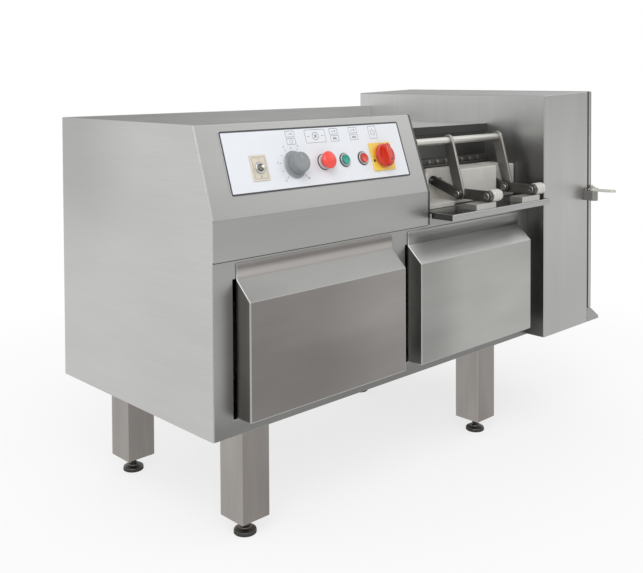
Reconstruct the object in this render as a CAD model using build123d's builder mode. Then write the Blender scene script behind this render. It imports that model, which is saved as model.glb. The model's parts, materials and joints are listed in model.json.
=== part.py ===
from build123d import *
import os
from math import atan2, cos, degrees, hypot, radians, sin

os.makedirs("parts", exist_ok=True)

# Strip cutting machine: a stainless cabinet on four legs holds the hydraulic feed, a hand-closed
# side press sits in the recess at the right, and the tall housing at the end holds the knives.
# Millimetres. X runs along the feed, Y to the back, Z up. The origin is on the floor, under the
# middle of the machine. Heights named "height" are above the bottom of the cabinet.

# Cabinet
sheet = 2.5
body_length = 1098.0
body_depth = 600.0
body_height = 630.0
floor_clearance = 255.0
shoulder_height = 441.4
slope_setback = 63.5
hood_length = 668.0
hood_lip_height = 358.0
rim_width = 18.0
tray_depth = 42.0
recess_depth = 145.0
louvre_rows = 8
louvre_length = 110.0
louvre_width = 7.0
louvre_pitch = 22.0
louvre_banks = (0.25, 0.75)
vent_width = 12.0
vent_length = 160.0
vent_pitch = 60.0
vent_count = 6

# Service covers and the front frame behind them
post_width = 52.0
middle_post_width = 48.0
middle_post_offset = 5.0
right_post_width = 50.0
sill_height = 35.0
window_top_height = 318.0
window_return = 20.0
cover_flange_height = 33.0
cover_depth = 45.0
cover_slant_drop = 40.0
cover_side_gap = 7.0
cover_edge_gap = 1.0

# Frame, legs and feet
tube_size = 40.0
tube_wall = 3.0
leg_size = 76.0
leg_wall = 3.0
leg_edge = 1.5
leg_length = 218.0
leg_left_inset = 103.3
leg_right_inset = 100.3
leg_front_inset = 40.0
leg_rear_inset = 40.4
leg_foot_plate = 10.0
foot_radius = 25.0
foot_pad_height = 9.0
foot_disc_height = 15.0
foot_boss_radius = 13.0
stem_radius = 8.0
stem_length = 75.0
jam_nut_height = 10.0
jam_nut_flats = 24.0

# Side press: the shelf, the levers and the jaw
shelf_height = 389.0
shelf_gauge = 4.0
shelf_reach = 72.0
shelf_flange = 16.0
shelf_gap = 4.0
pivot_forward = 55.8
pivot_rise = 29.0
lever_length = 81.7
link_run = 82.0
link_rise = 29.0
arm_length = 143.4
arm_lean = 74.3
lever_plate = 10.0
arm_plate = 8.0
link_plate = 8.0
lever_half_width = 13.5
arm_half_width = 15.0
link_half_width = 12.5
plate_gap = 0.4
linkage_inset = 162.0
linkage_spacing = 200.0
bar_radius = 9.5
bar_overhang = 140.0
bar_end = 5.0
pin_radius = 7.0
link_pin_radius = 6.0
link_bore_radius = 3.0
pin_head_radius = 10.5
pin_head_height = 5.0
running_clearance = 0.05
bush_radius = 15.0
bush_length = 40.0
bush_flat = 14.2
block_overhang = 60.0
block_length = 82.0
block_depth = 38.0
block_rear_offset = 25.0
jaw_front = 45.0
jaw_thickness = 85.0
jaw_height = 89.0
jaw_end_gap = 2.0
jaw_slot_margin = 8.0
jaw_slot_floor = 8.0
jaw_slot_depth = 77.5
jaw_edge_round = 6.0
jaw_ledge_height = 12.0
jaw_ledge_reach = 18.0
cheek_gap = 10.0
cheek_thickness = 12.0
cheek_front = 20.0
cheek_height = 95.0
cheek_edge = 5.0
seat_gap = 0.3

# Feed chamber and pusher
chamber_width = 84.0
chamber_height = 84.0
chamber_wall = 16.0
chamber_lid_gap = 3.5
chamber_lid = 12.0
clamp_bar_depth = 10.0
clamp_bar_height = 15.0
clamp_bar_edge = 2.0
trim_depth = 4.0
trim_height = 22.0
beam_width = 60.0
partition_thickness = 8.0
partition_depth = 300.0
partition_front_height = 325.0
pusher_thickness = 40.0
pusher_gap = 9.0
pusher_side_clearance = 3.5
pusher_clearance = 0.6
pusher_stroke = 370.0
pusher_edge = 2.0
pusher_grooves = 4
pusher_groove = 3.0
rod_play = 1.0
rod_radius = 18.0
piston_radius = 30.0
piston_length = 24.0
cylinder_wall = 8.0
cylinder_cap = 14.0
cylinder_flange = 12.0
cylinder_flange_size = 110.0

# Power pack
tank_left = 110.0
tank_length = 470.0
tank_front = 170.0
tank_width = 260.0
tank_height = 180.0
tank_corner = 12.0
tank_wall = 3.0
filler_inset = 40.0
filler_radius = 20.0
filler_height = 24.0
motor_left = 60.0
motor_length = 230.0
motor_radius = 68.0
motor_axis_height = 95.0
motor_fin_height = 8.0
motor_fins = 12
motor_foot_width = 150.0
motor_foot_height = 12.0
motor_foot_inset = 20.0
motor_rear_offset = 30.0
terminal_reach = 30.0
terminal_bottom = 10.0
terminal_top = 55.0
bell_length = 70.0
bell_radius = 52.0
pump_length = 80.0
pump_width = 80.0
pump_corner = 10.0
valve_length = 90.0
valve_width = 60.0
valve_height = 70.0
valve_inset = 20.0

# Knife housing and door
housing_length = 230.0
housing_wall = 3.0
housing_front_overhang = 53.5
housing_rear_overhang = 48.0
housing_left_height = 670.5
housing_right_height = 678.0
door_lip = 22.0
door_bottom_height = 41.0
gasket_thickness = 6.0
gasket_width = 14.0
door_thickness = 13.5
door_skin = 2.5
door_rear_inset = 2.0
door_overlap = 1.0
hinge_radius = 8.0
hinge_pin_radius = 4.0
hinge_offset = 9.0
hinge_length = 60.0
hinge_inset = 90.0
hinge_leaf_width = 34.0
hinge_leaf_gauge = 3.0
hinge_pack = 1.0
chute_reach = 47.0
chute_lip = 8.0

# Door latch
latch_height = 390.0
latch_pivot_inset = 12.0
latch_pivot_forward = 26.5
latch_paddle_length = 50.0
latch_paddle_lean = 12.0
latch_pad_radius = 12.0
latch_boss_radius = 11.0
latch_plate = 6.0
latch_bracket_width = 24.0
latch_bracket_height = 27.0
latch_pin_radius = 5.0
latch_pin_length = 18.0
latch_nose_length = 30.0
keeper_reach = 8.5
keeper_height = 14.0
keeper_left = 1.0
keeper_right = 2.0
latch_cap_inset = 2.0
latch_cap_height = 3.0

# Knives
grid_frame_size = 130.0
grid_play = 5.0
grid_thickness = 10.0
grid_pitch = 12.0
grid_corner = 4.0
blade_thickness = 1.2
carrier_wall = 20.0
carrier_floor = 3.0
retainer_thickness = 5.0
retainer_window = 92.0
knife_axis_rear = 330.0
knife_axis_height = 330.0
knife_radius = 250.0
knife_hub_radius = 42.0
knife_thickness = 6.0
knife_gap = 6.0
shaft_radius = 17.5
shaft_depth = 50.0
shaft_hole_play = 3.0
bearing_radius = 45.0
bearing_length = 28.0
bearing_flange = 8.0
bearing_flange_size = 108.0
knife_nut_radius = 27.0
knife_nut_length = 26.0
gearbox_length = 110.0
gearbox_width = 150.0
gearbox_height = 170.0
gearbox_corner = 18.0
gearmotor_length = 220.0
gearmotor_radius = 62.0

# Controls, placed along the panel and up its slope from the shoulder
plate_left = 59.0
plate_length = 552.0
plate_bottom = 44.6
plate_height = 138.0
plate_thickness = 1.5
control_row = 98.5
toggle_place = 146.5
knob_place = 246.0
estop_place = 334.0
start_place = 401.0
stop_place = 461.0
switch_place = 525.0
toggle_plate_width = 45.0
toggle_plate_height = 56.0
toggle_collar_radius = 7.0
toggle_collar_height = 4.0
toggle_plate_thickness = 2.0
toggle_play = 2.6
toggle_lift = 0.8
toggle_radius = 3.0
toggle_length = 16.0
knob_skirt_radius = 31.0
knob_skirt_height = 5.0
knob_radius = 23.0
knob_height = 29.0
estop_radius = 20.0
estop_height = 30.0
estop_neck = 3.0
estop_rim_top = 13.0
estop_crown_radius = 14.0
estop_travel = 4.0
collar_radius = 17.0
collar_height = 5.0
bezel_radius = 15.0
bezel_height = 3.5
cap_radius = 11.0
cap_height = 7.0
cap_travel = 3.0
switch_plate_width = 72.0
switch_plate_height = 68.0
switch_plate_thickness = 4.0
switch_disc_height = 10.0
switch_knob_radius = 28.0
switch_knob_height = 26.0
switch_grip_width = 15.0
switch_grip_length = 52.0
switch_grip_corner = 4.0

# Cable gland on the back
gland_inset = 90.0
gland_height = 70.0
gland_radius = 15.0
gland_length = 24.0
gland_cap_radius = 14.0
gland_bore = 6.5

# Stations worked out from the sizes
x_left = -(body_length + housing_length + gasket_thickness + seat_gap + door_thickness + chute_reach) / 2
x_wall = x_left + body_length
x_flange = x_wall + housing_length
x_door = x_flange + gasket_thickness + seat_gap
x_door_out = x_door + door_thickness
x_chute = x_door_out + chute_reach
x_hood = x_left + hood_length
x_partition = x_hood - partition_thickness
latch_forward = housing_front_overhang + latch_pivot_forward + latch_paddle_length + latch_pad_radius
rear_reach = body_depth + housing_rear_overhang + hinge_offset + hinge_radius
y_front = (latch_forward - rear_reach) / 2
y_rear = y_front + body_depth
y_housing = y_front - housing_front_overhang
y_housing_rear = y_rear + housing_rear_overhang
z_bottom = floor_clearance
z_top = z_bottom + body_height
z_deck = z_top - tray_depth
z_shoulder = z_bottom + shoulder_height
z_shelf = z_bottom + shelf_height
z_lip = z_bottom + hood_lip_height
z_frame_top = z_shelf - shelf_gauge
y_hood = y_front - sheet
y_slope = y_front + slope_setback
y_rim = y_slope + rim_width
y_recess = y_front + recess_depth


def rect(u0, v0, u1, v1, mode=Mode.ADD):
    """Rectangle between two corners of the current sketch."""
    with Locations(((u0 + u1) / 2, (v0 + v1) / 2)):
        Rectangle(u1 - u0, v1 - v0, mode=mode)


def folded(points, gauge):
    """Corners of a bent sheet: its outer line, then that line moved left by the gauge, mitred."""
    moved = []
    for place, (u, v) in enumerate(points):
        before = points[max(place - 1, 0)]
        after = points[min(place + 1, len(points) - 1)]
        normals = []
        for start, end in ((before, (u, v)), ((u, v), after)):
            run = hypot(end[0] - start[0], end[1] - start[1])
            if run > 0:
                normals.append((-(end[1] - start[1]) / run, (end[0] - start[0]) / run))
        first, second = normals[0], normals[-1]
        share = gauge / (1 + first[0] * second[0] + first[1] * second[1])
        moved.append((u + share * (first[0] + second[0]), v + share * (first[1] + second[1])))
    return list(points) + moved[::-1]


def block(x0, x1, y0, y1, z0, z1, mode=Mode.ADD):
    """Box between two corners, in the current part."""
    with Locations(((x0 + x1) / 2, (y0 + y1) / 2, (z0 + z1) / 2)):
        Box(x1 - x0, y1 - y0, z1 - z0, mode=mode)


def bar_link(start, end, half_width, hole_start, hole_end):
    """Flat link with round ends and a hole at each end, in the current sketch."""
    run = hypot(end[0] - start[0], end[1] - start[1])
    middle = ((start[0] + end[0]) / 2, (start[1] + end[1]) / 2)
    turn = degrees(atan2(end[1] - start[1], end[0] - start[0]))
    with Locations(Location((middle[0], middle[1], 0), (0, 0, turn))):
        SlotCenterToCenter(run, 2 * half_width)
    with Locations(start):
        Circle(hole_start, mode=Mode.SUBTRACT)
    with Locations(end):
        Circle(hole_end, mode=Mode.SUBTRACT)


# Left side panel, with the outline of the whole cabinet
with BuildPart() as left_side_panel:
    with BuildSketch(Plane.YZ.offset(x_left)):
        Polygon(
            (y_front, z_bottom),
            (y_rear, z_bottom),
            (y_rear, z_top),
            (y_slope, z_top),
            (y_hood, z_shoulder),
            (y_hood, z_lip),
            (y_front, z_lip),
        )
    extrude(amount=sheet)
left_side_panel.part.label = "left_side_panel"
export_step(left_side_panel.part, "parts/left_side_panel.step")

# Rear panel with two banks of louvre slots
with BuildPart() as rear_panel:
    with BuildSketch(Plane.XZ.offset(-y_rear)):
        rect(x_left + sheet, z_bottom, x_wall, z_top)
        for bank in louvre_banks:
            with Locations((x_left + bank * body_length, z_bottom + body_height / 2)):
                with GridLocations(0, louvre_pitch, 1, louvre_rows):
                    Rectangle(louvre_length, louvre_width, mode=Mode.SUBTRACT)
        with Locations((x_left + gland_inset, z_bottom + gland_height)):
            Circle(gland_bore, mode=Mode.SUBTRACT)
    extrude(amount=sheet)
rear_panel.part.label = "rear_panel"
export_step(rear_panel.part, "parts/rear_panel.step")

# Floor pan with ventilation slots between the rails
with BuildPart() as floor_pan:
    with BuildSketch(Plane.XY.offset(z_bottom)):
        rect(x_left + sheet, y_front + sheet, x_wall, y_rear - sheet)
        with Locations((x_left + body_length / 2, y_front + body_depth / 2)):
            with GridLocations(vent_pitch, 0, vent_count, 1):
                Rectangle(vent_width, vent_length, mode=Mode.SUBTRACT)
    extrude(amount=sheet)
floor_pan.part.label = "floor_pan"
export_step(floor_pan.part, "parts/floor_pan.step")

# Front frame: posts, sill and top rail round the two service windows
z_sill = z_bottom + sill_height
z_window = z_bottom + window_top_height
x_middle_post = x_left + body_length / 2 + middle_post_offset
windows = [
    (x_left + post_width, x_middle_post - middle_post_width / 2),
    (x_middle_post + middle_post_width / 2, x_wall - right_post_width),
]
with BuildPart() as front_frame:
    with BuildSketch(Plane.XZ.offset(-y_front)):
        rect(x_left + sheet, z_bottom, x_wall, z_frame_top)
        for window_left, window_right in windows:
            rect(window_left, z_sill, window_right, z_window, Mode.SUBTRACT)
    extrude(amount=-sheet)
    with BuildSketch(Plane.XZ.offset(-y_front - sheet)):
        for window_left, window_right in windows:
            rect(window_left - sheet, z_sill - sheet, window_right + sheet, z_window + sheet)
            rect(window_left, z_sill, window_right, z_window, Mode.SUBTRACT)
    extrude(amount=-window_return)
front_frame.part.label = "front_frame"
export_step(front_frame.part, "parts/front_frame.step")

# Service covers: pans with a slanted top, hung in front of the windows
cover_names = ("left_service_cover", "right_service_cover")
z_cover_top = z_window + cover_flange_height
y_cover = y_front - cover_depth
cover_line = [
    (y_front, z_cover_top),
    (y_front - sheet, z_cover_top),
    (y_front - sheet, z_window),
    (y_cover, z_window - cover_slant_drop),
    (y_cover, z_sill),
    (y_front, z_sill),
]
hollow_line = [
    (y_front, z_window - sheet),
    (y_cover + sheet, z_window - cover_slant_drop - sheet),
    (y_cover + sheet, z_sill + sheet),
    (y_front, z_sill + sheet),
]
for cover_name, (window_left, window_right) in zip(cover_names, windows):
    cover_left = window_left + cover_side_gap
    cover_right = window_right - cover_edge_gap
    with BuildPart() as service_cover:
        with BuildSketch(Plane.YZ.offset(cover_left)):
            Polygon(*cover_line)
        extrude(amount=cover_right - cover_left)
        with BuildSketch(Plane.YZ.offset(cover_left + sheet)):
            Polygon(*hollow_line)
        extrude(amount=cover_right - cover_left - 2 * sheet, mode=Mode.SUBTRACT)
    service_cover.part.label = cover_name
    export_step(service_cover.part, f"parts/{cover_name}.step")

# Control hood: apron, sloping panel and rim, bent from one sheet
with BuildPart() as control_hood:
    with BuildSketch(Plane.YZ.offset(x_left + sheet)):
        hood_line = [
            (y_hood, z_lip),
            (y_hood, z_shoulder),
            (y_slope, z_top),
            (y_rim, z_top),
            (y_rim, z_deck),
        ]
        Polygon(*folded(hood_line, -sheet))
    extrude(amount=x_partition - x_left - sheet)
control_hood.part.label = "control_hood"
export_step(control_hood.part, "parts/control_hood.step")

# Partition between the hood and the press, standing on a cross member
z_rails = z_bottom + sheet + tube_size
y_rail_front = y_front + leg_front_inset + (leg_size - tube_size) / 2
y_rail_rear = y_rear - leg_rear_inset - (leg_size + tube_size) / 2
y_chamber = y_front + jaw_front + jaw_thickness
y_feed = y_chamber + chamber_width / 2
z_feed = z_shelf + chamber_height / 2
feed_axis = Axis((0, y_feed, z_feed), (1, 0, 0))
with BuildPart() as partition_wall:
    with BuildSketch(Plane.YZ.offset(x_partition)):
        Polygon(
            (y_hood, z_lip),
            (y_hood, z_shoulder),
            (y_slope, z_top),
            (y_rim - sheet, z_top),
            (y_rim - sheet, z_deck - sheet),
            (y_front + partition_depth, z_deck - sheet),
            (y_front + partition_depth, z_rails),
            (y_rail_front + tube_size, z_rails),
            (y_rail_front + tube_size, z_bottom + partition_front_height),
            (y_front + sheet, z_bottom + partition_front_height),
            (y_front + sheet, z_frame_top),
            (y_front, z_frame_top),
            (y_front, z_lip),
        )
        with Locations((y_feed, z_feed)):
            Circle(rod_radius + rod_play, mode=Mode.SUBTRACT)
    extrude(amount=partition_thickness)
partition_wall.part.label = "partition_wall"
export_step(partition_wall.part, "parts/partition_wall.step")

# Top deck: the recessed tray, and the guard that hangs from its front edge over the press
z_chamber_top = z_shelf + chamber_height + seat_gap + chamber_lid
with BuildPart() as top_deck:
    with BuildSketch(Plane.XY.offset(z_deck - sheet)):
        Polygon(
            (x_left + sheet, y_rim - sheet),
            (x_hood, y_rim - sheet),
            (x_hood, y_recess),
            (x_wall, y_recess),
            (x_wall, y_rear - sheet),
            (x_left + sheet, y_rear - sheet),
        )
    extrude(amount=sheet)
    block(x_hood, x_wall, y_recess, y_recess + sheet, z_chamber_top, z_deck - sheet)
top_deck.part.label = "top_deck"
export_step(top_deck.part, "parts/top_deck.step")

# Rubber strip along the front edge of the deck
with BuildPart() as deck_edge_trim:
    with BuildSketch(Plane.YZ.offset(x_hood)):
        rect(y_recess - trim_depth, z_deck - trim_height, y_recess, z_deck)
        chamfer(vertices().sort_by(Axis.Y)[:2], trim_depth / 4)
    extrude(amount=body_length - hood_length)
deck_edge_trim.part.label = "deck_edge_trim"
export_step(deck_edge_trim.part, "parts/deck_edge_trim.step")

# Base frame: two rails, the cross members between them and the beam under the feed chamber
x_legs = (x_left + leg_left_inset, x_wall - leg_right_inset - leg_size)
y_legs = (y_front + leg_front_inset, y_rear - leg_rear_inset - leg_size)
cross_members = (
    x_legs[0] + leg_size / 2,
    x_left + tank_left + tank_length - tube_size,
    x_partition + partition_thickness / 2,
    x_legs[1] + leg_size / 2,
)
z_rail = z_bottom + sheet
with BuildPart() as base_frame:
    for y_rail in (y_rail_front, y_rail_rear):
        with BuildSketch(Plane.YZ.offset(x_left + sheet)):
            rect(y_rail, z_rail, y_rail + tube_size, z_rails)
            rect(
                y_rail + tube_wall,
                z_rail + tube_wall,
                y_rail + tube_size - tube_wall,
                z_rails - tube_wall,
                Mode.SUBTRACT,
            )
        extrude(amount=body_length - sheet)
    for x_member in cross_members:
        with BuildSketch(Plane.XZ.offset(-y_rail_front - tube_size)):
            rect(x_member - tube_size / 2, z_rail, x_member + tube_size / 2, z_rails)
            rect(
                x_member - tube_size / 2 + tube_wall,
                z_rail + tube_wall,
                x_member + tube_size / 2 - tube_wall,
                z_rails - tube_wall,
                Mode.SUBTRACT,
            )
        extrude(amount=-(y_rail_rear - y_rail_front - tube_size))
    with BuildSketch(Plane.YZ.offset(x_hood)):
        rect(y_feed - beam_width / 2, z_frame_top - tube_size, y_feed + beam_width / 2, z_frame_top)
        rect(
            y_feed - beam_width / 2 + tube_wall,
            z_frame_top - tube_size + tube_wall,
            y_feed + beam_width / 2 - tube_wall,
            z_frame_top - tube_wall,
            Mode.SUBTRACT,
        )
    extrude(amount=body_length - hood_length)
base_frame.part.label = "base_frame"
export_step(base_frame.part, "parts/base_frame.step")

# Legs: square tubes with a foot plate drilled for the stem of the foot
z_leg = z_bottom - leg_length
leg_names = ("front_legs", "rear_legs")
for leg_name, y_leg in zip(leg_names, y_legs):
    with BuildPart() as leg_pair:
        for x_leg in x_legs:
            with BuildSketch(Plane.XY.offset(z_leg)):
                with Locations((x_leg + leg_size / 2, y_leg + leg_size / 2)):
                    chamfer(Rectangle(leg_size, leg_size).vertices(), leg_edge)
                    Rectangle(leg_size - 2 * leg_wall, leg_size - 2 * leg_wall, mode=Mode.SUBTRACT)
            extrude(amount=leg_length)
            with BuildSketch(Plane.XY.offset(z_leg)):
                with Locations((x_leg + leg_size / 2, y_leg + leg_size / 2)):
                    Rectangle(leg_size - 2 * leg_wall, leg_size - 2 * leg_wall)
                    Circle(stem_radius + running_clearance, mode=Mode.SUBTRACT)
            extrude(amount=leg_foot_plate)
    leg_pair.part.label = leg_name
    export_step(leg_pair.part, f"parts/{leg_name}.step")

# Levelling feet: pad, disc and stem with its jam nut
foot_profile = [
    (0, 0),
    (foot_radius, 0),
    (foot_radius, foot_pad_height),
    (foot_boss_radius, foot_pad_height),
    (foot_boss_radius, foot_disc_height),
    (stem_radius, foot_disc_height),
    (stem_radius, stem_length),
    (0, stem_length),
]
for side, x_leg in zip(("left", "right"), x_legs):
    for row, y_leg in zip(("front", "rear"), y_legs):
        x_foot = x_leg + leg_size / 2
        y_foot = y_leg + leg_size / 2
        with BuildPart() as levelling_foot:
            with BuildSketch(Plane.XZ.offset(-y_foot)):
                Polygon(*[(x_foot + radius, height) for radius, height in foot_profile])
            revolve(axis=Axis((x_foot, y_foot, 0), (0, 0, 1)))
            with BuildSketch(Plane.XY.offset(z_leg - seat_gap - jam_nut_height)):
                with Locations((x_foot, y_foot)):
                    RegularPolygon(jam_nut_flats / 2, 6, major_radius=False)
            extrude(amount=jam_nut_height)
        foot_name = f"foot_{row}_{side}"
        levelling_foot.part.label = foot_name
        export_step(levelling_foot.part, f"parts/{foot_name}.step")

# Press shelf: bed plate of the side press and the feed chamber, with a folded front edge
y_shelf = y_front - shelf_reach
y_chamber_back = y_chamber + chamber_width
with BuildPart() as press_shelf:
    with BuildSketch(Plane.YZ.offset(x_hood + shelf_gap)):
        shelf_line = [
            (y_shelf, z_shelf - shelf_flange),
            (y_shelf, z_shelf),
            (y_chamber_back + chamber_wall, z_shelf),
        ]
        Polygon(*folded(shelf_line, -shelf_gauge))
    extrude(amount=x_wall - x_hood - shelf_gap)
    block(
        x_hood + shelf_gap,
        x_hood + 2 * shelf_gap,
        y_shelf,
        y_front - shelf_gap,
        z_shelf - shelf_flange,
        z_shelf - shelf_gauge,
    )
press_shelf.part.label = "press_shelf"
export_step(press_shelf.part, "parts/press_shelf.step")

# Feed chamber: back wall and lid in one angle, from the partition to the knife housing
with BuildPart() as feed_chamber:
    with BuildSketch(Plane.YZ.offset(x_hood)):
        Polygon(
            (y_chamber_back, z_shelf),
            (y_chamber_back + chamber_wall, z_shelf),
            (y_chamber_back + chamber_wall, z_chamber_top),
            (y_chamber + chamber_lid_gap, z_chamber_top),
            (y_chamber + chamber_lid_gap, z_chamber_top - chamber_lid),
            (y_chamber_back, z_chamber_top - chamber_lid),
        )
    extrude(amount=x_wall - x_hood)
feed_chamber.part.label = "feed_chamber"
export_step(feed_chamber.part, "parts/feed_chamber.step")

# Clamp bar that holds the guard down on the chamber lid
with BuildPart() as clamp_bar:
    with BuildSketch(Plane.YZ.offset(x_hood)):
        rect(y_recess - clamp_bar_depth, z_chamber_top, y_recess, z_chamber_top + clamp_bar_height)
        chamfer(vertices().group_by(Axis.Z)[-1].sort_by(Axis.Y)[0], clamp_bar_edge)
    extrude(amount=x_wall - x_hood)
clamp_bar.part.label = "clamp_bar"
export_step(clamp_bar.part, "parts/clamp_bar.step")

# Guide cheek at the left end of the jaw
x_cheek = x_hood + cheek_gap
with BuildPart() as jaw_guide_cheek:
    with BuildSketch(Plane.YZ.offset(x_cheek)):
        rect(y_front + cheek_front, z_shelf, y_chamber - seat_gap, z_shelf + cheek_height)
        chamfer(vertices().group_by(Axis.Z)[-1].sort_by(Axis.Y)[0], cheek_edge)
        with Locations((y_front + 2 * cheek_front, z_shelf + cheek_height - cheek_front)):
            SlotOverall(cheek_front, cheek_front / 3, mode=Mode.SUBTRACT)
    extrude(amount=cheek_thickness)
jaw_guide_cheek.part.label = "jaw_guide_cheek"
export_step(jaw_guide_cheek.part, "parts/jaw_guide_cheek.step")

# Joint centres of the toggle: fixed pivot, knee, jaw pin and handle bar
pivot = (y_front - pivot_forward, z_shelf + pivot_rise)
knee = (pivot[0] + lever_length, pivot[1])
jaw_pin = (knee[0] + link_run, knee[1] + link_rise)
handle = (
    knee[0] + arm_length * cos(radians(arm_lean)),
    knee[1] + arm_length * sin(radians(arm_lean)),
)
x_linkages = (x_hood + linkage_inset, x_hood + linkage_inset + linkage_spacing)
arm_offsets = (-arm_plate, lever_plate)
link_offsets = (-arm_plate - plate_gap - link_plate, -plate_gap - link_plate)
knee_ends = (lever_plate, lever_plate + arm_plate)

# Pivot blocks: a seat on the shelf and the bush that the lever turns in
y_block = pivot[0] + block_rear_offset
with BuildPart() as pivot_blocks:
    for x_linkage in x_linkages:
        x_bush = x_linkage + lever_plate + plate_gap
        block(
            x_linkage - block_overhang,
            x_linkage - block_overhang + block_length,
            y_block - block_depth,
            y_block,
            z_shelf,
            pivot[1] - bush_flat,
        )
        with BuildSketch(Plane.YZ.offset(x_bush)):
            with Locations(pivot):
                Circle(bush_radius)
            rect(
                pivot[0] - bush_radius,
                pivot[1] - bush_radius,
                pivot[0] + bush_radius,
                pivot[1] - bush_flat,
                Mode.SUBTRACT,
            )
        extrude(amount=bush_length)
        with BuildSketch(Plane.YZ.offset(x_bush)):
            with Locations(pivot):
                Circle(pin_radius + running_clearance)
        extrude(amount=bush_length, mode=Mode.SUBTRACT)
pivot_blocks.part.label = "pivot_blocks"
export_step(pivot_blocks.part, "parts/pivot_blocks.step")

# Dark levers from the fixed pivots to the knees
with BuildPart() as press_levers:
    for x_linkage in x_linkages:
        with BuildSketch(Plane.YZ.offset(x_linkage)):
            bar_link(pivot, knee, lever_half_width, pin_radius, pin_radius)
        extrude(amount=lever_plate)
press_levers.part.label = "press_levers"
export_step(press_levers.part, "parts/press_levers.step")

# Steel arms from the knees up to the handle bar, one on the outer side of each lever
with BuildPart() as press_arms:
    for x_linkage, arm_offset in zip(x_linkages, arm_offsets):
        with BuildSketch(Plane.YZ.offset(x_linkage + arm_offset)):
            bar_link(knee, handle, arm_half_width, pin_radius, bar_radius)
        extrude(amount=arm_plate)
press_arms.part.label = "press_arms"
export_step(press_arms.part, "parts/press_arms.step")

# Handle bar through both arms
with BuildPart() as handle_bar:
    with BuildSketch(Plane.YZ.offset(x_linkages[0] - bar_overhang)):
        with Locations(handle):
            Circle(bar_radius)
    extrude(amount=bar_overhang + linkage_spacing + lever_plate + arm_plate + bar_end)
handle_bar.part.label = "handle_bar"
export_step(handle_bar.part, "parts/handle_bar.step")

# Pins of the levers: one in each bush, one at each knee, with round heads
with BuildPart() as lever_pins:
    for x_linkage, link_offset, knee_end in zip(x_linkages, link_offsets, knee_ends):
        for centre, start, end in (
            (pivot, x_linkage, x_linkage + lever_plate + plate_gap + bush_length),
            (knee, x_linkage + link_offset - plate_gap, x_linkage + knee_end),
        ):
            with BuildSketch(Plane.YZ.offset(start)):
                with Locations(centre):
                    Circle(pin_radius)
            extrude(amount=end - start)
            with BuildSketch(Plane.YZ.offset(start)):
                with Locations(centre):
                    Circle(pin_head_radius)
            extrude(amount=-pin_head_height)
lever_pins.part.label = "lever_pins"
export_step(lever_pins.part, "parts/lever_pins.step")

# Rear links from the knees to the jaw, each with its own jaw pin
slot_lefts = [offset - plate_gap - pin_head_height - jaw_slot_margin / 2 for offset in link_offsets]
slot_rights = [knee_end + jaw_slot_margin / 2 for knee_end in knee_ends]
pin_reach = jaw_slot_margin
with BuildPart() as rear_links:
    for x_linkage, link_offset, slot_left, slot_right in zip(
        x_linkages, link_offsets, slot_lefts, slot_rights
    ):
        with BuildSketch(Plane.YZ.offset(x_linkage + link_offset)):
            bar_link(knee, jaw_pin, link_half_width, pin_radius + running_clearance, link_bore_radius)
        extrude(amount=link_plate)
        with BuildSketch(Plane.YZ.offset(x_linkage + slot_left - pin_reach)):
            with Locations(jaw_pin):
                Circle(link_pin_radius)
        extrude(amount=slot_right - slot_left + 2 * pin_reach)
rear_links.part.label = "rear_links"
export_step(rear_links.part, "parts/rear_links.step")

# Press jaw: nylon block on the shelf, slotted for the links and low in front of the left end
x_jaw = x_cheek + cheek_thickness + jaw_end_gap
y_jaw = y_front + jaw_front
with BuildPart() as press_jaw:
    with BuildSketch(Plane.YZ.offset(x_jaw)):
        rect(y_jaw, z_shelf + seat_gap, y_chamber, z_shelf + jaw_height)
        chamfer(vertices().group_by(Axis.Z)[-1], jaw_edge_round / 3)
        with Locations(jaw_pin):
            Circle(link_pin_radius + running_clearance, mode=Mode.SUBTRACT)
    extrude(amount=x_wall - jaw_end_gap - x_jaw)
    for x_linkage, slot_left, slot_right in zip(x_linkages, slot_lefts, slot_rights):
        block(
            x_linkage + slot_left,
            x_linkage + slot_right,
            y_jaw - 1,
            y_jaw + jaw_slot_depth,
            z_shelf + jaw_slot_floor,
            z_shelf + jaw_height + 1,
            Mode.SUBTRACT,
        )
    block(
        x_jaw - 1,
        x_linkages[0] + slot_lefts[0],
        y_jaw - 1,
        y_chamber + 1,
        z_shelf + jaw_ledge_height,
        z_shelf + jaw_height + 1,
        Mode.SUBTRACT,
    )
    block(
        x_jaw,
        x_linkages[0] + slot_lefts[0],
        y_jaw - jaw_ledge_reach,
        y_jaw + 1,
        z_shelf + seat_gap,
        z_shelf + jaw_ledge_height,
    )
press_jaw.part.label = "press_jaw"
export_step(press_jaw.part, "parts/press_jaw.step")

# Pusher head that fills the chamber
x_pusher = x_hood + pusher_gap
with BuildPart() as pusher_head:
    with BuildSketch(Plane.YZ.offset(x_pusher)):
        rect(
            y_chamber + pusher_side_clearance,
            z_shelf + pusher_clearance,
            y_chamber_back - pusher_clearance,
            z_shelf + chamber_height - pusher_clearance,
        )
        chamfer(vertices(), pusher_edge)
    extrude(amount=pusher_thickness)
    with BuildSketch(Plane.YZ.offset(x_pusher + pusher_thickness)):
        with Locations((y_feed, z_feed)):
            with GridLocations(0, chamber_height / (pusher_grooves + 1), 1, pusher_grooves):
                Rectangle(chamber_width, pusher_groove)
    extrude(amount=-pusher_groove, mode=Mode.SUBTRACT)
pusher_head.part.label = "pusher_head"
export_step(pusher_head.part, "parts/pusher_head.step")

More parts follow.
